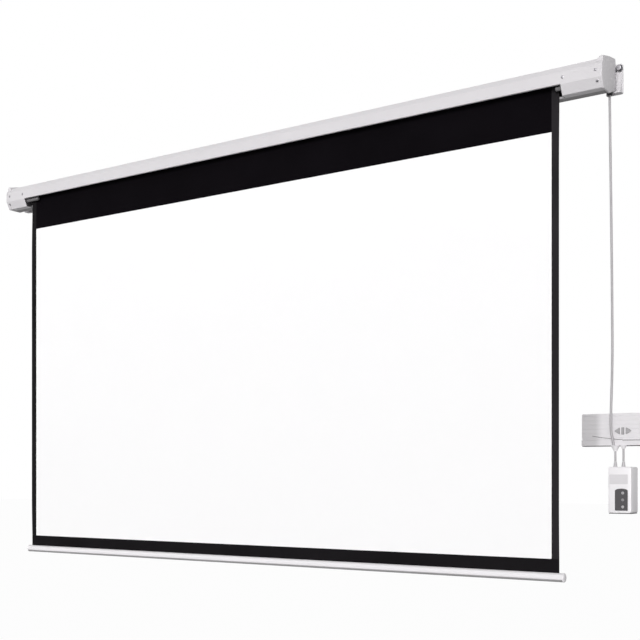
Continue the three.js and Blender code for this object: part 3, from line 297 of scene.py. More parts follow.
# Mesh building: edges sharper than a crease, in degrees, stay sharp
CREASE = 32.0
SHEET_CREASE = 25.0
BAND_CREASE = 40.0
KEY_CREASE = 50.0
CLOTH_CREASE = 60.0
BEVEL_SEGMENTS = 2
FINE_BEVEL = 0.0002
SMALL_BEVEL = 0.0003
MEDIUM_BEVEL = 0.0005
WIDE_BEVEL = 0.0008
JOIN_DISTANCE = 1e-6
FLAT_ANGLE = 0.4
TURN_SIDES = 48
ROUND_STEPS = 5


# Camera and cable


def linked(name, data):
    """A new object in the scene, with the data given."""
    obj = bpy.data.objects.new(name, data)
    bpy.context.scene.collection.objects.link(obj)
    return obj


def add_camera():
    data = bpy.data.cameras.new("camera")
    data.lens = CAMERA_LENS
    data.sensor_width = CAMERA_SENSOR
    data.shift_y = CAMERA_SHIFT
    data.clip_end = FLOOR_REACH * 2
    camera = linked("camera", data)
    camera.location = CAMERA_PLACE
    camera.rotation_euler = (pi / 2, 0, CAMERA_TURN)
    bpy.context.scene.camera = camera


def add_cable():
    data = bpy.data.curves.new("motor_cord", "CURVE")
    data.dimensions = "3D"
    data.bevel_depth = CABLE_DIAMETER / 2
    data.bevel_resolution = CABLE_STEPS
    data.resolution_u = CABLE_STEPS
    data.use_fill_caps = True
    spline = data.splines.new("BEZIER")
    spline.bezier_points.add(len(CABLE_ROUTE) - 1)
    for point, place in zip(spline.bezier_points, CABLE_ROUTE):
        point.co = place
        point.handle_left_type = "AUTO"
        point.handle_right_type = "AUTO"
    data.materials.append(sheath)
    cable = linked("motor_cord", data)
    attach(cable, "housing")
    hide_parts("motor_cable")


# Materials


def feed(tree, socket, value):
    """Gives an input its value, or links it to the output that feeds it."""
    if isinstance(value, bpy.types.NodeSocket):
        tree.links.new(value, socket)
    else:
        socket.default_value = value


def add_node(tree, kind, settings=None, **values):
    node = tree.nodes.new(kind)
    for name, value in (settings or {}).items():
        setattr(node, name, value)
    for name, value in values.items():
        feed(tree, node.inputs[name.replace("_", " ")], value)
    return node


def object_place(tree, stretch=(1, 1, 1)):
    place = tree.nodes.new("ShaderNodeTexCoord").outputs["Object"]
    return add_node(tree, "ShaderNodeMapping", Vector=place, Scale=stretch).outputs["Vector"]


def noise(tree, place, scale, detail=NOISE_DETAIL):
    values = {"Vector": place, "Scale": scale, "Detail": detail, "Roughness": NOISE_ROUGHNESS}
    return add_node(tree, "ShaderNodeTexNoise", **values).outputs[0]


def ranged(tree, value, low, high, span=NOISE_SPAN, kind="LINEAR"):
    """Stretches a value's span to the range given."""
    node = add_node(
        tree,
        "ShaderNodeMapRange",
        {"interpolation_type": kind},
        Value=value,
        From_Min=span[0],
        From_Max=span[1],
        To_Min=low,
        To_Max=high,
    )
    return node.outputs["Result"]


def arithmetic(tree, operation, first, second):
    node = add_node(tree, "ShaderNodeMath", {"operation": operation})
    feed(tree, node.inputs[0], first)
    feed(tree, node.inputs[1], second)
    return node.outputs[0]


def mixed(tree, amount, first, second, kind="MIX"):
    """A colour between two others."""
    settings = {"data_type": "RGBA", "blend_type": kind}
    node = add_node(tree, "ShaderNodeMix", settings, Factor=amount)
    sockets = [s for s in node.inputs if s.type == "RGBA"]
    feed(tree, sockets[0], first)
    feed(tree, sockets[1], second)
    return next(s for s in node.outputs if s.type == "RGBA")


def grain(tree, scale):
    """Fine, even grain: orange peel in paint, or the texture of a mould."""
    return noise(tree, object_place(tree), scale, GRAIN_DETAIL)


def drawn(tree, scale):
    """Lines drawn along X, as on rolled or ground metal."""
    return noise(tree, object_place(tree, DRAWN_STRETCH), scale, FINE_DETAIL)


def weave(tree, scale):
    """Threads that cross, seen through a coating."""
    place = object_place(tree)
    bands = []
    for axis in ("X", "Z"):
        wave = add_node(
            tree,
            "ShaderNodeTexWave",
            {"bands_direction": axis},
            Vector=place,
            Scale=scale,
            Distortion=WEAVE_DISTORTION,
            Detail=WEAVE_DETAIL,
        )
        bands.append(wave.outputs["Fac"])
    crossed = arithmetic(tree, "MULTIPLY", *bands)
    return arithmetic(tree, "ADD", crossed, noise(tree, place, scale * WEAVE_GRAIN))


def tracks(tree, scale):
    """Copper tracks under a board's lacquer."""
    brick = add_node(
        tree,
        "ShaderNodeTexBrick",
        Vector=object_place(tree),
        Scale=scale,
        Mortar_Size=TRACK_GAP,
        Row_Height=TRACK_ROW,
    )
    return brick.outputs["Fac"]


def material(
    name,
    colour,
    roughness,
    pattern=grain,
    scale=900.0,
    height=0.00002,
    metallic=0.0,
    specular=0.5,
    tint=0.05,
    tint_scale=9.0,
    vary=0.08,
):
    """A finish whose colour, roughness and relief vary as on the real piece."""
    made = bpy.data.materials.new(name)
    made.use_nodes = True
    tree = made.node_tree
    relief = pattern(tree, scale)
    patches = noise(tree, object_place(tree), tint_scale, FINE_DETAIL)
    tones = [(*[min(1.0, c * share) for c in colour], 1) for share in (1 - tint, 1 + tint)]
    bump = add_node(tree, "ShaderNodeBump", Strength=1.0, Distance=height, Height=relief)
    for name, value in {
        "Metallic": metallic,
        "Specular IOR Level": specular,
        "Base Color": mixed(tree, ranged(tree, patches, 0.0, 1.0), *tones),
        "Roughness": ranged(tree, relief, roughness - vary / 2, roughness + vary / 2),
        "Normal": bump.outputs["Normal"],
    }.items():
        feed(tree, tree.nodes["Principled BSDF"].inputs[name], value)
    return made


def painted_shade(made, share, *fades):
    """Paints shade into a finish: darkens its colour where all its fades are full. Each runs along
    an axis from full to none.
    """
    tree = made.node_tree
    socket = tree.nodes["Principled BSDF"].inputs["Base Color"]
    source = socket.links[0].from_socket
    split = add_node(tree, "ShaderNodeSeparateXYZ", Vector=object_place(tree))
    amount = 1.0
    for axis, *span in fades:
        fade = ranged(tree, split.outputs[axis], 1.0, 0.0, span, "SMOOTHSTEP")
        amount = arithmetic(tree, "MULTIPLY", fade, amount)
    shade = (share, share, share, 1)
    feed(tree, socket, mixed(tree, amount, source, shade, "MULTIPLY"))


def white_coat(name):
    return material(name, (0.685, 0.665, 0.685), 0.42, tint=0.02, height=0.00003)


bracket_paint = white_coat("bracket_paint")
case_paint = white_coat("case_paint")
# Painted shade on the rear of the case's underside
painted_shade(case_paint, CASE_UNDER_SHADE_SHARE, CASE_UNDER_SHADE_HEIGHT, CASE_UNDER_SHADE_DEPTH)
cap_plastic = material(
    "cap_plastic", (0.69, 0.67, 0.69), 0.55, scale=420.0,
    height=0.00009, tint=0.09, tint_scale=160.0,
)
zinc = material(
    "zinc", (0.40, 0.39, 0.41), 0.42, scale=600.0,
    metallic=1.0, tint=0.10, tint_scale=120.0, vary=0.2,
)
dark_steel = material(
    "dark_steel", (0.10, 0.10, 0.11), 0.38, drawn, 500.0, metallic=1.0, tint=0.15, tint_scale=200.0
)
roller_metal = material(
    "roller_metal", (0.42, 0.43, 0.45), 0.36, drawn, 420.0, metallic=1.0, tint=0.08, tint_scale=40.0
)
black_plastic = material("black_plastic", (0.020, 0.020, 0.022), 0.45, scale=1200.0, tint=0.12)
head_plastic = material("head_plastic", (0.72, 0.70, 0.72), 0.4, scale=1200.0, tint=0.08)


def black_fabric(name, colour, specular):
    return material(
        name, colour, 0.85, weave, 260.0,
        height=0.00005, specular=specular, tint=0.25, tint_scale=5.0,
    )


black_cloth = black_fabric("black_cloth", (0.0044, 0.0036, 0.0048), 0.02)
border_cloth = black_fabric("border_cloth", (0.0240, 0.0221, 0.0244), 0.04)
# Painted shade: the border is darker towards the left
painted_shade(border_cloth, BORDER_LEFT_SHADE_SHARE, BORDER_SHADE_FADE)
band_cloth = black_fabric("band_cloth", (0.0100, 0.0090, 0.0102), 0.04)
white_cloth = material(
    "white_cloth", (0.965, 0.960, 0.965), 0.92, weave, 420.0, specular=0.1, tint=0.006
)
white_plastic = material("white_plastic", (0.85, 0.83, 0.85), 0.38, scale=1500.0, tint=0.02)
station_plastic = material("station_plastic", (0.75, 0.73, 0.75), 0.42, scale=1500.0, tint=0.02)
# Painted shade on the station's left end
painted_shade(station_plastic, STATION_END_SHADE_SHARE, STATION_END_SHADE)
relief_plastic = material("relief_plastic", (0.56, 0.545, 0.56), 0.45, scale=1500.0, tint=0.03)
bar_paint = material("bar_paint", (0.88, 0.86, 0.88), 0.35, drawn, 700.0, tint=0.02)
# Painted shade on the bar's underside
painted_shade(bar_paint, BAR_UNDER_SHADE_SHARE, BAR_UNDER_SHADE)
plate_foil = material("plate_foil", (0.70, 0.68, 0.70), 0.35, scale=2000.0, tint=0.04)


def button_rubber(name, colour):
    return material(name, colour, 0.5, scale=1400.0, height=0.00003, tint=0.06, tint_scale=90.0)


grey_rubber = button_rubber("grey_rubber", (0.43, 0.415, 0.43))
dark_rubber = button_rubber("dark_rubber", (0.27, 0.26, 0.27))
key_plastic = material(
    "key_plastic", (0.38, 0.37, 0.38), 0.42, scale=1400.0, tint=0.05, tint_scale=60.0
)
panel_plastic = material("panel_plastic", (0.075, 0.070, 0.075), 0.4, scale=1300.0, tint=0.1)
sheath = material("sheath", (0.45, 0.435, 0.45), 0.5, scale=800.0, tint=0.05, tint_scale=30.0)
guide_plastic = material("guide_plastic", (0.16, 0.155, 0.16), 0.45, scale=1300.0, tint=0.08)
# Colour of the dark strips that paint shade: in the station's seam, along its ledge, and under the
# station and receiver
seam_shade = material("seam_shade", (0.11, 0.105, 0.11), 0.6, scale=1300.0, tint=0.08)
board_lacquer = material(
    "board_lacquer", (0.030, 0.135, 0.062), 0.3, tracks, 160.0,
    height=0.00004, tint=0.2, tint_scale=90.0,
)


# Mesh building


def finished(obj, slot, nodes, body="housing", crease=CREASE, bevel=0.0):
    """Smooths a new piece, softens its edges and puts it in the frame."""
    mesh = obj.data
    mesh.shade_smooth()
    mesh.set_sharp_from_angle(angle=radians(crease))
    if bevel:
        edge = obj.modifiers.new("edges", "BEVEL")
        edge.width = bevel
        edge.segments = BEVEL_SEGMENTS
        edge.limit_method = "ANGLE"
        edge.angle_limit = radians(crease)
        edge.harden_normals = True
        edge.miter_outer = "MITER_ARC"
    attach(obj, body)
    if nodes:
        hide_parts(*nodes)
    return obj


def new_object(name, places, faces, *materials):
    mesh = bpy.data.meshes.new(name)
    mesh.from_pydata([tuple(p) for p in places], [], faces)
    mesh.validate()
    work = bmesh.new()
    work.from_mesh(mesh)
    bmesh.ops.recalc_face_normals(work, faces=work.faces)
    work.to_mesh(mesh)
    work.free()
    for entry in materials:
        mesh.materials.append(entry)
    return linked(name, mesh)


def add_piece(name, shape, entry, slot, nodes, **others):
    """A new piece from a shape, which is its points and its faces."""
    return finished(new_object(name, *shape, entry), slot, nodes, **others)


def lofted(rings, closed=False):
    """Points and faces of a skin through rings of the same number of points, with flat ends."""
    count = len(rings[0])
    places = [point for ring in rings for point in ring]
    faces = []
    spans = len(rings) if closed else len(rings) - 1
    for ring in range(spans):
        low = ring * count
        high = ((ring + 1) % len(rings)) * count
        for i in range(count):
            j = (i + 1) % count
            faces.append((low + i, low + j, high + j, high + i))
    if not closed:
        faces.append(tuple(reversed(range(count))))
        faces.append(tuple(range(len(places) - count, len(places))))
    return places, faces


def turned(profile, sides=TURN_SIDES):
    """Points and faces of a solid of revolution about Z, from pairs of radius and height."""
    places = []
    starts = []
    for radius, height in profile:
        starts.append(len(places))
        if radius == 0:
            places.append((0, 0, height))
        else:
            places.extend((x, y, height) for x, y in circle(radius, sides))
    faces = []
    for k in range(len(profile) - 1):
        low, high = starts[k], starts[k + 1]
        for i in range(sides):
            j = (i + 1) % sides
            if profile[k][0] == 0:
                faces.append((low, high + j, high + i))
            elif profile[k + 1][0] == 0:
                faces.append((low + i, low + j, high))
            else:
                faces.append((low + i, low + j, high + j, high + i))
    return places, faces


def arc(radius, start, sweep, steps, centre=(0, 0)):
    return [
        (
            centre[0] + radius * cos(start + sweep * k / steps),
            centre[1] + radius * sin(start + sweep * k / steps),
        )
        for k in range(steps + 1)
    ]


def circle(radius, sides):
    return arc(radius, 0, 2 * pi, sides)[:-1]


def angles(step, count):
    """Angles from zero up, the given number of degrees apart."""
    return [radians(step * k) for k in range(count)]


def risen(rim, angle):
    """Height of a round crown at an angle, as a share of the whole, above a rim of that share."""
    return rim + (1 - rim) * sin(angle)


def round_edge(radius, height, size):
    """Rounded outer edge of a turned piece, as pairs of radius and height."""
    return [(radius - size + x, height - size + z) for x, z in arc(size, 0, pi / 2, ROUND_STEPS)]


def spread(low, high, count):
    return [low + (high - low) * k / count for k in range(count + 1)]


def middle(box, y=None, z=None):
    """Middle of a box, with another y or z where one is given."""
    centre = [(a + b) / 2 for a, b in zip(*box)]
    return centre[0], centre[1] if y is None else y, centre[2] if z is None else z


def placed(shape, origin, direction=(0, 0, 1)):
    """Turns a shape made along Z to face the way given, and moves it to the origin given."""
    places, faces = shape
    turn = Vector((0, 0, 1)).rotation_difference(Vector(direction))
    return [turn @ Vector(p) + Vector(origin) for p in places], faces


def smooth_route(points, steps):
    """Points along a centripetal curve through the points given."""
    knots = [Vector(p) for p in points]
    ends = [2 * knots[0] - knots[1], *knots, 2 * knots[-1] - knots[-2]]
    route = []
    for k in range(1, len(ends) - 2):
        p0, p1, p2, p3 = ends[k - 1 : k + 3]
        t1 = (p1 - p0).length ** 0.5
        t2 = t1 + (p2 - p1).length ** 0.5
        t3 = t2 + (p3 - p2).length ** 0.5
        for step in range(steps):
            t = t1 + (t2 - t1) * step / steps
            a1 = p0.lerp(p1, t / t1)
            a2 = p1.lerp(p2, (t - t1) / (t2 - t1))
            a3 = p2.lerp(p3, (t - t2) / (t3 - t2))
            b1 = a1.lerp(a2, t / t2)
            b2 = a2.lerp(a3, (t - t1) / (t3 - t1))
            route.append(b1.lerp(b2, (t - t1) / (t2 - t1)))
    route.append(knots[-1])
    return route


def swept(route, radius, sides):
    """Points and faces of a round tube along a route, with flat ends."""
    rings = []
    tangent = (route[1] - route[0]).normalized()
    across = tangent.orthogonal().normalized()
    for k, point in enumerate(route):
        ahead = route[min(k + 1, len(route) - 1)] - route[max(k - 1, 0)]
        fresh = ahead.normalized()
        across = tangent.rotation_difference(fresh) @ across
        tangent = fresh
        other = tangent.cross(across).normalized()
        rings.append([point + a * across + b * other for a, b in circle(radius, sides)])
    return lofted(rings)


def together(*solids):
    """Several sets of points and faces as one."""
    places = []
    faces = []
    for points, sides in solids:
        start = len(places)
        places.extend(points)
        faces.extend(tuple(start + i for i in face) for face in sides)
    return places, faces


def copied(name, node, entry):
    """A cleaned copy of a CAD node's mesh, with its flat faces whole, to be given soft edges."""
    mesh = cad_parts[node].data.copy()
    work = bmesh.new()
    work.from_mesh(mesh)
    bmesh.ops.remove_doubles(work, verts=work.verts, dist=JOIN_DISTANCE)
    flat = radians(FLAT_ANGLE)
    bmesh.ops.dissolve_limit(work, angle_limit=flat, verts=work.verts, edges=work.edges)
    work.to_mesh(mesh)
    work.free()
    if "custom_normal" in mesh.attributes:
        mesh.attributes.remove(mesh.attributes["custom_normal"])
    mesh.materials.clear()
    mesh.materials.append(entry)
    return linked(name, mesh)


def softened(node, name, entry, slot, bevel, body="housing", crease=CREASE):
    return finished(copied(name, node, entry), slot, [node], body, crease, bevel)


def rounded(corners, radius, steps):
    """Rounds the corners of a convex outline; each corner gives steps + 1 points."""
    outline = []
    for i, corner in enumerate(corners):
        here = Vector(corner)
        back = (Vector(corners[i - 1]) - here).normalized()
        ahead = (Vector(corners[(i + 1) % len(corners)]) - here).normalized()
        half = back.angle(ahead) / 2
        reach = radius / tan(half)
        centre = here + (back + ahead).normalized() * radius / sin(half)
        start = here + back * reach - centre
        end = here + ahead * reach - centre
        sweep = atan2(start.x * end.y - start.y * end.x, start.dot(end))
        first = atan2(start.y, start.x)
        outline.extend(arc(radius, first, sweep, steps, centre))
    return outline


# Case


UPPER_LOW, CASE_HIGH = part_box("housing_shell")
CASE_LOW = Vector((UPPER_LOW.x, UPPER_LOW.y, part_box("bottom_panel")[0].z))
SLOT_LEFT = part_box("slot_end_left")[1].x
SLOT_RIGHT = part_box("slot_end_right")[0].x
SLOT_TOP = CASE_LOW.z + SLOT_HEIGHT


def case_section():
    """Outline of the case across its length: eight sides with rounded folds."""
    front, low = CASE_LOW.y, CASE_LOW.z
    back, high = CASE_HIGH.y, CASE_HIGH.z
    corners = [
        (front + FRONT_BEVEL_DEPTH, low),
        (back - BACK_BEVEL_DEPTH, low),
        (back, low + BACK_BEVEL_HEIGHT),
        (back, high - TOP_BACK_CHAMFER),
        (back - TOP_BACK_CHAMFER, high),
        (front + TOP_FRONT_CHAMFER, high),
        (front, high - TOP_FRONT_CHAMFER_HEIGHT),
        (front, low + FRONT_BEVEL_HEIGHT),
    ]
    return rounded(corners, CASE_FOLD_RADIUS, CASE_FOLD_STEPS)


def slot_fold(start, first, second):
    """Edge of the sheet at the slot: it turns from the first way into the second, for a flange."""
    start, first, second = Vector(start), Vector(first), Vector(second)
    fold = [start]
    for turn in spread(0, pi / 2, SLOT_FOLD_STEPS)[1:]:
        way = first * sin(turn) + second * (1 - cos(turn))
        fold.append(start + way * SLOT_FOLD_RADIUS)
    return [*fold, fold[-1] + second * SLOT_FLANGE]


def add_case():
    """The folded sheet, open along its slot, with a small return flange on each side of it."""
    outline = case_section()
    corner_points = CASE_FOLD_STEPS + 1
    foot = outline[:corner_points]
    rest = outline[corner_points:-corner_points]
    bevel_fold = outline[-corner_points:]
    slot_front = (CASE_LOW.y, SLOT_TOP + SLOT_FOLD_RADIUS)
    slot_back = (SLOT_BACK + SLOT_FOLD_RADIUS, CASE_LOW.z)
    ring = [slot_back, *rest, slot_front, *bevel_fold, *foot]
    open_from = 1 + len(rest)
    stations = [
        CASE_LOW.x,
        SLOT_LEFT - SLOT_END_SPAN,
        SLOT_LEFT,
        SLOT_RIGHT,
        SLOT_RIGHT + SLOT_END_SPAN,
        CASE_HIGH.x,
    ]
    open_span = stations.index(SLOT_LEFT)
    places = [(x, y, z) for x in stations for y, z in ring]
    count = len(ring)
    faces = []
    for k in range(len(stations) - 1):
        for i in range(count):
            if k == open_span and i >= open_from:
                continue
            j = (i + 1) % count
            low, high = k * count, (k + 1) * count
            faces.append((low + i, low + j, high + j, high + i))

    front_fold = slot_fold(slot_front, (0, -1), (1, 0))
    back_fold = slot_fold(slot_back, (-1, 0), (0, 1))
    for fold, joint in ((front_fold, open_from), (back_fold, 0)):
        ends = [[open_span * count + joint], [(open_span + 1) * count + joint]]
        for point in fold[1:]:
            for side, x in zip(ends, (SLOT_LEFT, SLOT_RIGHT)):
                side.append(len(places))
                places.append((x, point[0], point[1]))
        for k in range(len(fold) - 1):
            quad = (ends[0][k], ends[0][k + 1], ends[1][k + 1], ends[1][k])
            faces.append(quad if joint else tuple(reversed(quad)))
    obj = new_object("case_sheet", places, faces, case_paint)
    sheet = obj.modifiers.new("sheet", "SOLIDIFY")
    sheet.thickness = CASE_SHEET
    sheet.offset = -1
    sheet.use_even_offset = True
    flat = obj.modifiers.new("flat", "WEIGHTED_NORMAL")
    flat.keep_sharp = True
    nodes = ["housing_shell", "bottom_panel", "slot_end_left", "slot_end_right"]
    return finished(obj, "case_paint", nodes, crease=SHEET_CREASE)


def at_end(side, x, y, z):
    """Puts a point measured outwards from the case's right end at the end named."""
    return (x + CASE_HIGH.x, y, z) if side == "right" else (CASE_LOW.x - x, y, z)


def headed(shaft_radius, shaft, radius, height, rim, crown):
    """Shaft with a round head, along Z. The head stands off by the usual room."""
    dome = [(radius * cos(a), FIT + height * risen(rim, a)) for a in angles(*crown)]
    return turned([
        (0, -shaft),
        (shaft_radius, -shaft),
        (shaft_radius, FIT),
        (radius, FIT),
        *dome,
        (0, FIT + height),
    ])


def pan_screw(radius, height, shaft_radius, shaft):
    """Mesh of a pan head screw with a crossed slot."""
    shape = headed(shaft_radius, shaft, radius, height, SCREW_RIM_SHARE, SCREW_CROWN)
    screw = new_object("screw", *shape, zinc)
    arm, half = radius * SCREW_SLOT_REACH, SCREW_SLOT / 2
    rings = []
    for way, share in zip((-1, 1), SCREW_SLOT_FLARE):
        a, h = arm * share, half * share
        cross = [(a, h), (h, h), (h, a), (-h, a), (-h, h), (-a, h)]
        cross += [(-x, -y) for x, y in cross]
        rings.append([(x, y, FIT + height + way * SCREW_SLOT_DEPTH) for x, y in cross])
    cutter = new_object("cutter", *lofted(rings))
    cut = screw.modifiers.new("slot", "BOOLEAN")
    cut.object = cutter
    cut.solver = "EXACT"
    graph = bpy.context.evaluated_depsgraph_get()
    mesh = bpy.data.meshes.new_from_object(screw.evaluated_get(graph))
    bpy.data.objects.remove(cutter)
    bpy.data.objects.remove(screw)
    return mesh


def placed_screw(name, mesh, origin, direction, node):
    copy = mesh.copy()
    places, _ = placed(([v.co for v in mesh.vertices], []), origin, direction)
    for vertex, place in zip(copy.vertices, places):
        vertex.co = place
    return finished(linked(name, copy), "zinc_steel", [node])


def add_case_ends():
    cap_screw = pan_screw(SCREW_HEAD_RADIUS, SCREW_HEAD_HEIGHT, SCREW_SHAFT_RADIUS, SCREW_SHAFT)
    wall_screw = pan_screw(
        WALL_SCREW_HEAD_RADIUS, WALL_SCREW_HEAD_HEIGHT, WALL_SCREW_SHAFT_RADIUS, BRACKET_THICKNESS
    )
    lean = FRONT_BEVEL_DEPTH * LOWER_SCREW_RISE / FRONT_BEVEL_HEIGHT
    on_bevel = (CASE_LOW.y + FRONT_BEVEL_DEPTH - lean, CASE_LOW.z + LOWER_SCREW_RISE)
    cap_screws = {
        "upper": ((-UPPER_SCREW_INSET, CASE_LOW.y, UPPER_SCREW_HEIGHT), (0, -1, 0)),
        "lower": ((-LOWER_SCREW_INSET, *on_bevel), (0, -FRONT_BEVEL_HEIGHT, -FRONT_BEVEL_DEPTH)),
    }
    for side in ("left", "right"):
        softened(f"end_cap_{side}", f"cap_moulding_{side}", cap_plastic, "cap_plastic", SMALL_BEVEL)
        plate = f"bracket_plate_{side}"
        softened(f"wall_bracket_{side}", plate, bracket_paint, "case_paint", MEDIUM_BEVEL)
        for level, (place, facing) in cap_screws.items():
            name, node = f"cap_screw_head_{side}_{level}", f"cap_screw_{side}_{level}"
            placed_screw(name, cap_screw, at_end(side, *place), facing, node)
        origin = at_end(side, WALL_SCREW_OFFSET, -BRACKET_THICKNESS, WALL_SCREW_HEIGHT)
        node = f"bracket_screw_{side}"
        placed_screw(f"wall_screw_{side}", wall_screw, origin, (0, -1, 0), node)
        add_peg(side)
        add_hook(side)
    for side in ("left", "right"):
        add_rivet(side)
    add_guide("left", "bearing_plate_left", GUIDE_END_LEFT)
    add_guide("right", "motor_plate_right", GUIDE_END_RIGHT)


def add_guide(side, plate, tip):
    """Round-ended pin from a plate of the roller along the slot, in front of the cloth."""
    root = middle(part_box(plate))[0]
    length = abs(tip - root)
    pin = turned([
        (0, 0),
        (GUIDE_RADIUS, 0),
        *round_edge(GUIDE_RADIUS, length, GUIDE_ROUND),
        (0, length),
    ])
    pin = placed(pin, (root, -GUIDE_FROM_WALL, GUIDE_HEIGHT), (tip - root, 0, 0))
    add_piece(f"cloth_guide_{side}", pin, guide_plastic, "grey_plastic", [])


def add_rivet(side):
    node = f"plate_rivet_{side}"
    head = (RIVET_RADIUS, RIVET_HEIGHT, RIVET_RIM_SHARE, RIVET_CROWN)
    rivet = headed(SCREW_SHAFT_RADIUS, RIVET_SHAFT, *head)
    rivet = placed(rivet, middle(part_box(node), y=CASE_LOW.y), (0, -1, 0))
    add_piece(f"rivet_head_{side}", rivet, zinc, "zinc_steel", [node])


def add_peg(side):
    foot = BRACKET_THICKNESS + FIT
    neck = foot + PEG_LENGTH
    peg = turned([
        (0, 0),
        (PEG_SHANK_RADIUS, 0),
        (PEG_SHANK_RADIUS, foot),
        (PEG_RADIUS, foot),
        (PEG_RADIUS, neck),
        (PEG_HEAD_RADIUS, neck),
        *round_edge(PEG_HEAD_RADIUS, neck + PEG_HEAD, PEG_HEAD_ROUND),
        (0, neck + PEG_HEAD),
    ])
    peg = placed(peg, at_end(side, PEG_OFFSET, 0, PEG_HEIGHT), (0, -1, 0))
    add_piece(f"shouldered_peg_{side}", peg, zinc, "zinc_steel", [f"hanger_peg_{side}"])


def add_hook(side):
    """Wire hook that hangs on the peg, with a round foot on the back of the case."""
    wire_y = -BRACKET_THICKNESS - FIT - PEG_LENGTH / 2 - HOOK_WIRE * HOOK_NECK_SHARE
    loop = PEG_RADIUS + FIT + HOOK_WIRE
    foot_face = CASE_HIGH.y + HOOK_FOOT
    halfway = (HOOK_FOOT_HEIGHT + PEG_HEIGHT) / 2
    route = [
        (-HOOK_FOOT_INSET, foot_face - HOOK_FOOT / 2, HOOK_FOOT_HEIGHT),
        (-HOOK_FOOT_INSET, (foot_face + wire_y) / 2, HOOK_FOOT_HEIGHT),
        (-HOOK_FOOT_INSET + HOOK_WIRE, wire_y, HOOK_FOOT_HEIGHT + HOOK_WIRE),
        (-HOOK_FOOT_INSET / 2, wire_y, halfway - loop * HOOK_NECK_SHARE),
        (PEG_OFFSET - loop * HOOK_MOUTH_SHARE, wire_y, PEG_HEIGHT - loop),
    ]
    peg = (PEG_OFFSET, PEG_HEIGHT)
    for x, z in arc(loop, HOOK_ARC_START, -HOOK_ARC_SWEEP, HOOK_ARC_STEPS, peg):
        route.append((x, wire_y, z))
    wire = swept(smooth_route(route, HOOK_STEPS), HOOK_WIRE, HOOK_SIDES)
    across, up = HOOK_FOOT_SHARES
    foot = turned([
        (0, 0),
        (HOOK_FOOT_RADIUS, 0),
        (HOOK_FOOT_RADIUS, HOOK_FOOT * up),
        (HOOK_FOOT_RADIUS * across, HOOK_FOOT),
        (0, HOOK_FOOT),
    ])
    foot = placed(foot, (-HOOK_FOOT_INSET, CASE_HIGH.y, HOOK_FOOT_HEIGHT), (0, 1, 0))
    places, faces = together(wire, foot)
    hook = ([at_end(side, *place) for place in places], faces)
    add_piece(f"wire_hook_{side}", hook, dark_steel, "dark_steel", [f"hanger_hook_{side}"])


def add_gland():
    low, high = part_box("cable_gland")
    collar = low.z + GLAND_COLLAR
    nut = high.z - GLAND_NUT
    mouth_share, mouth_rise = GLAND_MOUTH
    dome_middle = low.z + GLAND_DOME_RISE
    dome = [
        (GLAND_RADIUS * risen(GLAND_DOME_SHARE, a), dome_middle - GLAND_DOME_HEIGHT * cos(a))
        for a in angles(*GLAND_DOME)
    ]
    places, faces = turned([
        (0, low.z),
        (GLAND_SHANK_RADIUS * mouth_share, low.z),
        (GLAND_SHANK_RADIUS, low.z + mouth_rise),
        *dome,
        (GLAND_RADIUS, collar - GLAND_EDGE),
        (GLAND_RADIUS - GLAND_EDGE, collar),
        (GLAND_SHANK_RADIUS, collar),
        (GLAND_SHANK_RADIUS, nut),
        (GLAND_RADIUS - GLAND_EDGE, nut),
        (GLAND_RADIUS, nut + GLAND_EDGE),
        (GLAND_RADIUS, high.z - GLAND_EDGE),
        (GLAND_RADIUS - GLAND_EDGE, high.z),
        (0, high.z),
    ], GLAND_SIDES)
    x, y = CASE_HIGH.x - GLAND_INSET, -CABLE_FROM_WALL
    ribbed = []
    for a, b, z in places:
        angle = atan2(b, a)
        radius = hypot(a, b)
        if radius > GLAND_SHANK_RADIUS * GLAND_RIB_START and z < collar:
            radius -= GLAND_RIB_DEPTH * max(0.0, cos(angle * GLAND_RIBS))
        ribbed.append((x + radius * cos(angle), y + radius * sin(angle), z))
    shape = (ribbed, faces)
    add_piece("gland_collar", shape, black_plastic, "black_plastic", ["cable_gland"])


# Roller and what holds it


_, ROLLER_Y, ROLLER_Z = middle(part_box("roller_tube"))


def tube(node, name, outer, inner, entry, slot, bevel=0.0):
    """Plain tube round the roller's axis, as long as its node."""
    low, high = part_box(node)
    rings = []
    for radius, x in ((outer, low.x), (outer, high.x), (inner, high.x), (inner, low.x)):
        rings.append([(x, ROLLER_Y + a, ROLLER_Z + b) for a, b in circle(radius, ROLLER_STEPS)])
    shape = lofted(rings, closed=True)
    return add_piece(name, shape, entry, slot, [node], body="roller", bevel=bevel)


def add_roller():
    """The roller, and the cloth left on it as a closed layer that clears the hanging sheet."""
    bore = ROLLER_RADIUS - ROLLER_WALL
    tube(
        "roller_tube", "roller_barrel", ROLLER_RADIUS, bore,
        roller_metal, "roller_metal", FINE_BEVEL,
    )
    outer = ROLLER_Y - (CLOTH_PLANE + CLOTH_HALF_THICKNESS) - FIT
    inner = ROLLER_RADIUS + FIT
    return tube("leader_wrap", "cloth_on_roller", outer, inner, black_cloth, "black_cloth")


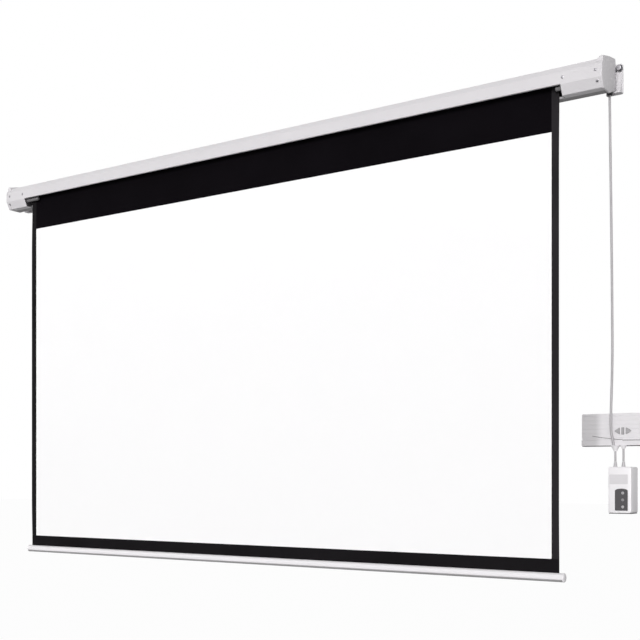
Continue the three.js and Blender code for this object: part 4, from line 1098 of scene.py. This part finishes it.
def add_inner_parts():
    setter = (cap_plastic, "cap_plastic", SMALL_BEVEL)
    for node, name, entry, slot, bevel, body in (
        ("bearing_plate_left", "idler_plate", zinc, "zinc_steel", SMALL_BEVEL, "housing"),
        ("motor_plate_right", "motor_plate", zinc, "zinc_steel", SMALL_BEVEL, "housing"),
        ("idler_pin", "idler_axle", dark_steel, "dark_steel", SMALL_BEVEL, "housing"),
        ("motor_casing", "motor_tube", zinc, "zinc_steel", MEDIUM_BEVEL, "housing"),
        ("motor_head", "motor_end", head_plastic, "black_plastic", WIDE_BEVEL, "housing"),
        ("motor_lead", "motor_lead_skin", sheath, "cable_skin", 0.0, "housing"),
        ("limit_screw_lower", "limit_setter_one", *setter, "limit_setter_lower"),
        ("limit_screw_upper", "limit_setter_two", *setter, "limit_setter_upper"),
        ("idler_plug", "idler_end", head_plastic, "black_plastic", PLUG_BEVEL, "roller"),
        ("crown_ring", "motor_crown", black_plastic, "black_plastic", SMALL_BEVEL, "roller"),
        ("drive_wheel", "drive_coupling", black_plastic, "black_plastic", SMALL_BEVEL, "roller"),
    ):
        softened(node, name, entry, slot, bevel, body)


# Hanging cloth and its bar


def add_cloth(hem):
    """One sheet: black on its back and round the picture, white in the picture."""
    low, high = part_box("screen_backing")
    low.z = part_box("screen_hem")[1].z + HEM_GAP
    face_low, face_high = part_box("screen_face")
    columns = [
        *spread(low.x, face_low.x, EDGE_COLUMNS)[:-1],
        *spread(face_low.x, face_high.x, FACE_COLUMNS),
        *spread(face_high.x, high.x, EDGE_COLUMNS)[1:],
    ]
    rows = [*spread(high.z, face_high.z, TOP_ROWS)[:-1], *spread(face_high.z, low.z, FACE_ROWS)]

    def curl(x, z):
        """How far the free side edges bend into the room, between the case and the band."""
        across = max(0.0, abs(x) - face_high.x) / (high.x - face_high.x)
        below = min(1.0, max(0.0, (EDGE_CURL_START - z) / EDGE_CURL_FADE))
        above = min(1.0, max(0.0, (z - low.z) / EDGE_CURL_FADE))
        fade = sin(below * pi / 2) * sin(above * pi / 2)
        return EDGE_CURL * across**2 * fade

    places = []
    for side in (-1, 1):
        for z in rows:
            for x in columns:
                places.append((x, CLOTH_PLANE + side * CLOTH_HALF_THICKNESS - curl(x, z), z))
    width, height = len(columns), len(rows)
    layer = width * height
    faces = []
    finishes = []
    for side in (0, 1):
        for r in range(height - 1):
            for c in range(width - 1):
                a = side * layer + r * width + c
                quad = (a, a + width, a + width + 1, a + 1)
                faces.append(quad if side == 0 else tuple(reversed(quad)))
                border = not EDGE_COLUMNS <= c < EDGE_COLUMNS + FACE_COLUMNS
                picture = 1 if r >= TOP_ROWS else 0
                finishes.append(0 if side else 2 if border else picture)
    edge = list(range(width))
    edge += [r * width + width - 1 for r in range(1, height)]
    edge += [(height - 1) * width + c for c in range(width - 2, -1, -1)]
    edge += [r * width for r in range(height - 2, 0, -1)]
    for a, b in zip(edge, edge[1:] + edge[:1]):
        faces.append((a, b, layer + b, layer + a))
        finishes.append(0)
    mesh = bpy.data.meshes.new("screen_cloth")
    mesh.from_pydata(places, [], faces)
    for entry in (black_cloth, white_cloth, border_cloth):
        mesh.materials.append(entry)
    mesh.polygons.foreach_set("material_index", finishes)
    cloth = linked("screen_cloth", mesh)
    nodes = ["screen_backing", "screen_face"]
    finished(cloth, "white_cloth", nodes, crease=CLOTH_CREASE)
    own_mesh(cloth)


def add_hem():
    """Black band under the picture: a welded seam across it, and the bead that the bar holds."""
    low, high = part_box("screen_hem")
    axis_z = low.z + BEAD_RADIUS
    weld_top = high.z - WELD_DROP
    levels = [
        (high.z, 0),
        (weld_top, 0),
        (weld_top - WELD_RISE, WELD_RISE),
        (weld_top - WELD_WIDTH, WELD_RISE),
        (weld_top - WELD_WIDTH - WELD_RISE, 0),
        (axis_z, 0),
    ]
    outline = [(CLOTH_PLANE - CLOTH_HALF_THICKNESS - out, z) for z, out in levels]
    outline += [(CLOTH_PLANE + CLOTH_HALF_THICKNESS, z) for z, _ in reversed(levels)]
    columns = spread(low.x, high.x, FACE_COLUMNS)
    band = lofted([[(x, y, z) for y, z in outline] for x in columns])
    ring = circle(BEAD_RADIUS, BEAD_SIDES)
    bead = lofted([[(x, CLOTH_PLANE + a, axis_z + b) for a, b in ring] for x in (low.x, high.x)])
    shape = together(band, bead)
    return add_piece(
        "bottom_band", shape, band_cloth, "black_cloth", ["screen_hem"],
        body="bottom_bar", crease=BAND_CREASE,
    )


def add_bar():
    """Round bar whose mouth holds the bead, with a domed cap in each end."""
    low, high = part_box("weight_bar")
    axis_y = (low.y + high.y) / 2
    axis_z = low.z + BAR_RADIUS
    gap = asin(BAR_MOUTH / 2 / BAR_RADIUS)
    outer = arc(BAR_RADIUS, pi / 2 + gap, 2 * (pi - gap), BAR_STEPS)
    inner = arc(BAR_RADIUS - BAR_WALL, pi / 2 - gap, -2 * (pi - gap), BAR_STEPS)
    outline = [(axis_y + a, axis_z + b) for a, b in outer + inner]
    columns = (low.x, high.x)
    places = [(x, y, z) for x in columns for y, z in outline]
    count = len(outline)
    faces = [(i, (i + 1) % count, count + (i + 1) % count, count + i) for i in range(count)]
    for shift in (0, count):
        for i in range(BAR_STEPS):
            faces.append((shift + i, shift + i + 1, shift + count - 2 - i, shift + count - 1 - i))
    bar = (places, faces)
    add_piece("round_bar", bar, bar_paint, "case_paint", ["weight_bar"], body="bottom_bar")

    plug = BAR_RADIUS - BAR_WALL - FIT
    rim = BAR_RADIUS + BAR_CAP_LIP
    crown = [
        (rim * cos(a), BAR_CAP_DOME * risen(BAR_CAP_RIM_SHARE, a)) for a in angles(*BAR_CAP_CROWN)
    ]
    cap = turned([
        (0, -BAR_CAP_PLUG),
        (plug, -BAR_CAP_PLUG),
        (plug, 0),
        (rim, 0),
        *crown,
        (0, BAR_CAP_DOME),
    ])
    for side, outwards, x in (("left", -1, low.x), ("right", 1, high.x)):
        shape = placed(cap, (x, axis_y, axis_z), (outwards, 0, 0))
        name, nodes = f"bar_end_{side}", [f"bar_cap_{side}"]
        add_piece(name, shape, white_plastic, "white_plastic", nodes, body="bottom_bar")


# Control station and receiver


def add_station():
    softened("station_base", "station_tray", station_plastic, "white_plastic", WIDE_BEVEL)
    softened("station_cover", "station_lid", station_plastic, "white_plastic", SMALL_BEVEL)
    softened("station_board", "station_circuit", board_lacquer, "board_green", FINE_BEVEL)
    add_seam_shadows()
    add_shade_strip("station_base_shade_strip", "station_base", "station_base")
    for key in ("left", "stop", "right"):
        node, name = f"station_key_{key}", f"key_cap_{key}"
        softened(node, name, key_plastic, "grey_plastic", KEY_BEVEL, f"key_{key}", KEY_CREASE)
    for number in (1, 2):
        node = f"station_relief_{number}"
        low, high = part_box(node)
        radius = (high.x - low.x) / 2
        height = high.z - low.z
        tip = LEAD_RADIUS + CONE_TIP_WALL
        side = [
            (tip + (radius - tip) * share**CONE_BEND, -height * (1 - share))
            for share in spread(0, 1, CONE_STEPS)[1:]
        ]
        cone = turned([(0, -height), (tip, -height), *side, (0, 0)])
        cone = placed(cone, middle((low, high), z=high.z))
        add_piece(f"lead_cone_{number}", cone, white_plastic, "white_plastic", [node])


def relief_profile(base, tip, height):
    """Ribbed strain relief from its base up."""
    profile = [(0, 0), (base, 0), (base, height * RELIEF_FOOT_SHARE)]
    for start in spread(*RELIEF_SPAN, RELIEF_RIBS)[:-1]:
        for k, width in enumerate((RELIEF_RIB_SHARE, 1, 1, RELIEF_RIB_SHARE)):
            at = start + RELIEF_STEP * k
            profile.append(((base + (tip - base) * at) * width, height * at))
    return [*profile, (tip, height), (0, height)]


def add_receiver():
    softened("receiver_front", "receiver_lid", white_plastic, "white_plastic", MEDIUM_BEVEL)
    softened("receiver_back", "receiver_tray", white_plastic, "white_plastic", MEDIUM_BEVEL)
    softened("receiver_panel", "key_panel", panel_plastic, "panel_plastic", SMALL_BEVEL)
    softened("receiver_board", "receiver_circuit", board_lacquer, "board_green", FINE_BEVEL)
    for name in ("down", "stop", "up"):
        add_button(name)
    add_blank_plate()
    add_shade_strip("receiver_base_shade_strip", "receiver_front", "receiver_back")
    for number in (1, 2):
        node = f"receiver_relief_{number}"
        low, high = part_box(node)
        x, y, z = middle((low, high), y=-CABLE_FROM_WALL, z=low.z)
        tip = LEAD_RADIUS + RELIEF_TIP_WALL
        relief = turned(relief_profile((high.x - low.x) / 2, tip, high.z - low.z))
        relief = placed(relief, (x, y, z))
        add_piece(f"lead_relief_{number}", relief, relief_plastic, "white_plastic", [node])
        node = f"receiver_lead_{number}"
        low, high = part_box(node)
        route = [Vector((x, y, z)) for z in spread(low.z, high.z, LEAD_STEPS)]
        lead = swept(route, LEAD_RADIUS, LEAD_SIDES)
        add_piece(f"lead_{number}", lead, sheath, "cable_skin", [node])


def add_button(name):
    node = f"receiver_button_{name}"
    low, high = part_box(node)
    depth = high.y - low.y
    dome = [
        (BUTTON_RADIUS * cos(a) ** BUTTON_CROWN_BEND, depth - BUTTON_CROWN * (1 - sin(a)))
        for a in angles(*BUTTON_CROWN_TURNS)
    ]
    flange = high.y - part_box("receiver_front")[0].y - BUTTON_FLANGE_DROP
    button = turned([
        (0, 0),
        (BUTTON_RADIUS, 0),
        (BUTTON_RADIUS, flange),
        (BUTTON_FLANGE_RADIUS, flange),
        (BUTTON_FLANGE_RADIUS, flange + BUTTON_FLANGE),
        (BUTTON_RADIUS, flange + BUTTON_FLANGE),
        *dome,
        (0, depth),
    ])
    button = placed(button, middle((low, high), y=high.y), (0, -1, 0))
    entry = dark_rubber if name == "stop" else grey_rubber
    add_piece(
        f"push_button_{name}", button, entry, "grey_plastic", [node], body=f"button_{name}"
    )


def rounded_plate(left, right, bottom, top, steps):
    """Outline of a small plate with round corners."""
    corners = [(left, bottom), (right, bottom), (right, top), (left, top)]
    return rounded(corners, PLATE_CORNER, steps)


def add_blank_plate():
    """Bare plate on the upper part of the receiver's front."""
    low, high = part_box("receiver_front")
    x = (low.x + high.x) / 2 + PLATE_OFFSET
    top = high.z - PLATE_DROP
    outline = rounded_plate(
        x - PLATE_WIDTH / 2, x + PLATE_WIDTH / 2, top - PLATE_HEIGHT, top, ROUND_STEPS
    )
    plate = lofted([[(x, low.y - out, z) for x, z in outline] for out in (0, PLATE_THICKNESS)])
    add_piece("receiver_blank_plate", plate, plate_foil, "white_plastic", [], bevel=PLATE_BEVEL)


def add_seam_shadow(name, front, path):
    """Fine dark strip on the station's front along a path of X and Z: painted shadow in a seam."""
    inside, outside, half = front + SEAM_PROUD, front - SEAM_PROUD, SEAM_WIDTH / 2
    corners = ((inside, -half), (outside, -half), (outside, half), (inside, half))
    rings = [[(x, y, z + up) for y, up in corners] for x, z in path]
    add_piece(name, lofted(rings), seam_shade, "panel_plastic", [])


def add_seam_shadows():
    """Painted shadow along the station's seam: it drops to the ledge, then follows its edge to the
    right end.
    """
    curve = []
    for share in spread(0, 1, SEAM_STEPS):
        x = SEAM_START[0] + (SEAM_END[0] - SEAM_START[0]) * share
        curve.append((x, SEAM_END[1] + (SEAM_START[1] - SEAM_END[1]) * (1 - share) ** SEAM_BEND))
    add_seam_shadow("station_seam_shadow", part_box("station_cover")[0].y, curve)
    low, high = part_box("station_base")
    ledge = LEDGE_SEAM_HEIGHT
    add_seam_shadow("ledge_seam_shadow", low.y, [(SEAM_END[0], ledge), (high.x - STRIP_INSET, ledge)])


def add_shade_strip(name, first, last):
    """Dark strip under a case, just inside its edges: painted shade along its bottom edge."""
    low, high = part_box(first)[0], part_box(last)[1]
    outline = rounded_plate(
        low.x + STRIP_INSET,
        high.x - STRIP_INSET,
        low.y + STRIP_INSET,
        high.y - STRIP_INSET,
        STRIP_ROUND_STEPS,
    )
    rings = [[(x, y, low.z - down) for x, y in outline] for down in (0, STRIP_HEIGHT)]
    add_piece(name, lofted(rings), seam_shade, "panel_plastic", [], bevel=FINE_BEVEL)


# Stage


def mixed_shader(tree, amount, first, second):
    node = tree.nodes.new("ShaderNodeMixShader")
    feed(tree, node.inputs[0], amount)
    feed(tree, node.inputs[1], first.outputs[0])
    feed(tree, node.inputs[2], second.outputs[0])
    return node.outputs[0]


def add_background():
    """White where it is seen, and paler light that falls from the front more than from the back."""
    world = bpy.data.worlds.new("studio")
    bpy.context.scene.world = world
    world.use_nodes = True
    tree = world.node_tree
    tree.nodes.clear()
    place = tree.nodes.new("ShaderNodeTexCoord")
    split = add_node(tree, "ShaderNodeSeparateXYZ", Vector=place.outputs["Generated"])
    shade = ranged(tree, split.outputs["Y"], AMBIENT_FRONT, AMBIENT_BACK, (-1.0, 1.0))
    path = tree.nodes.new("ShaderNodeLightPath")
    seen = 0.0
    for kind in ("Camera", "Glossy", "Transmission"):
        seen = arithmetic(tree, "MAXIMUM", seen, path.outputs[f"Is {kind} Ray"])
    dim = add_node(tree, "ShaderNodeBackground", Color=WHITE, Strength=shade)
    bright = add_node(tree, "ShaderNodeBackground", Color=WHITE)
    out = tree.nodes.new("ShaderNodeOutputWorld")
    feed(tree, out.inputs["Surface"], mixed_shader(tree, seen, dim, bright))


def add_floor():
    paint = bpy.data.materials.new("floor_paint")
    paint.use_nodes = True
    tree = paint.node_tree
    shader = tree.nodes["Principled BSDF"]
    shader.inputs["Base Color"].default_value = (*FLOOR_COLOUR, 1)
    shader.inputs["Roughness"].default_value = FLOOR_ROUGHNESS
    shader.inputs["Specular IOR Level"].default_value = 0.0
    glow = tree.nodes.new("ShaderNodeEmission")
    path = tree.nodes.new("ShaderNodeLightPath")
    amount = arithmetic(tree, "MULTIPLY", path.outputs["Is Camera Ray"], FLOOR_GLOW_SHARE)
    surface = tree.nodes["Material Output"].inputs["Surface"]
    feed(tree, surface, mixed_shader(tree, amount, shader, glow))
    z = CAD_LOW.z - FLOOR_DROP
    reach = FLOOR_REACH
    corners = [(-reach, -reach, z), (reach, -reach, z), (reach, reach, z), (-reach, reach, z)]
    new_object("floor", corners, [(0, 1, 2, 3)], paint)


def add_key_light():
    lamp = bpy.data.lights.new("key", "SUN")
    lamp.energy = KEY_STRENGTH
    lamp.angle = KEY_ANGLE
    key = linked("key", lamp)
    key.rotation_mode = "QUATERNION"
    key.rotation_quaternion = Vector(KEY_DIRECTION).to_track_quat("-Z", "Y")


add_camera()
add_cable()
add_case()
add_case_ends()
add_gland()
wound_cloth = add_roller()
add_inner_parts()
add_cloth(add_hem())
add_bar()
add_station()
add_receiver()
add_background()
add_floor()
add_key_light()
bpy.context.scene.view_settings.view_transform = "Standard"
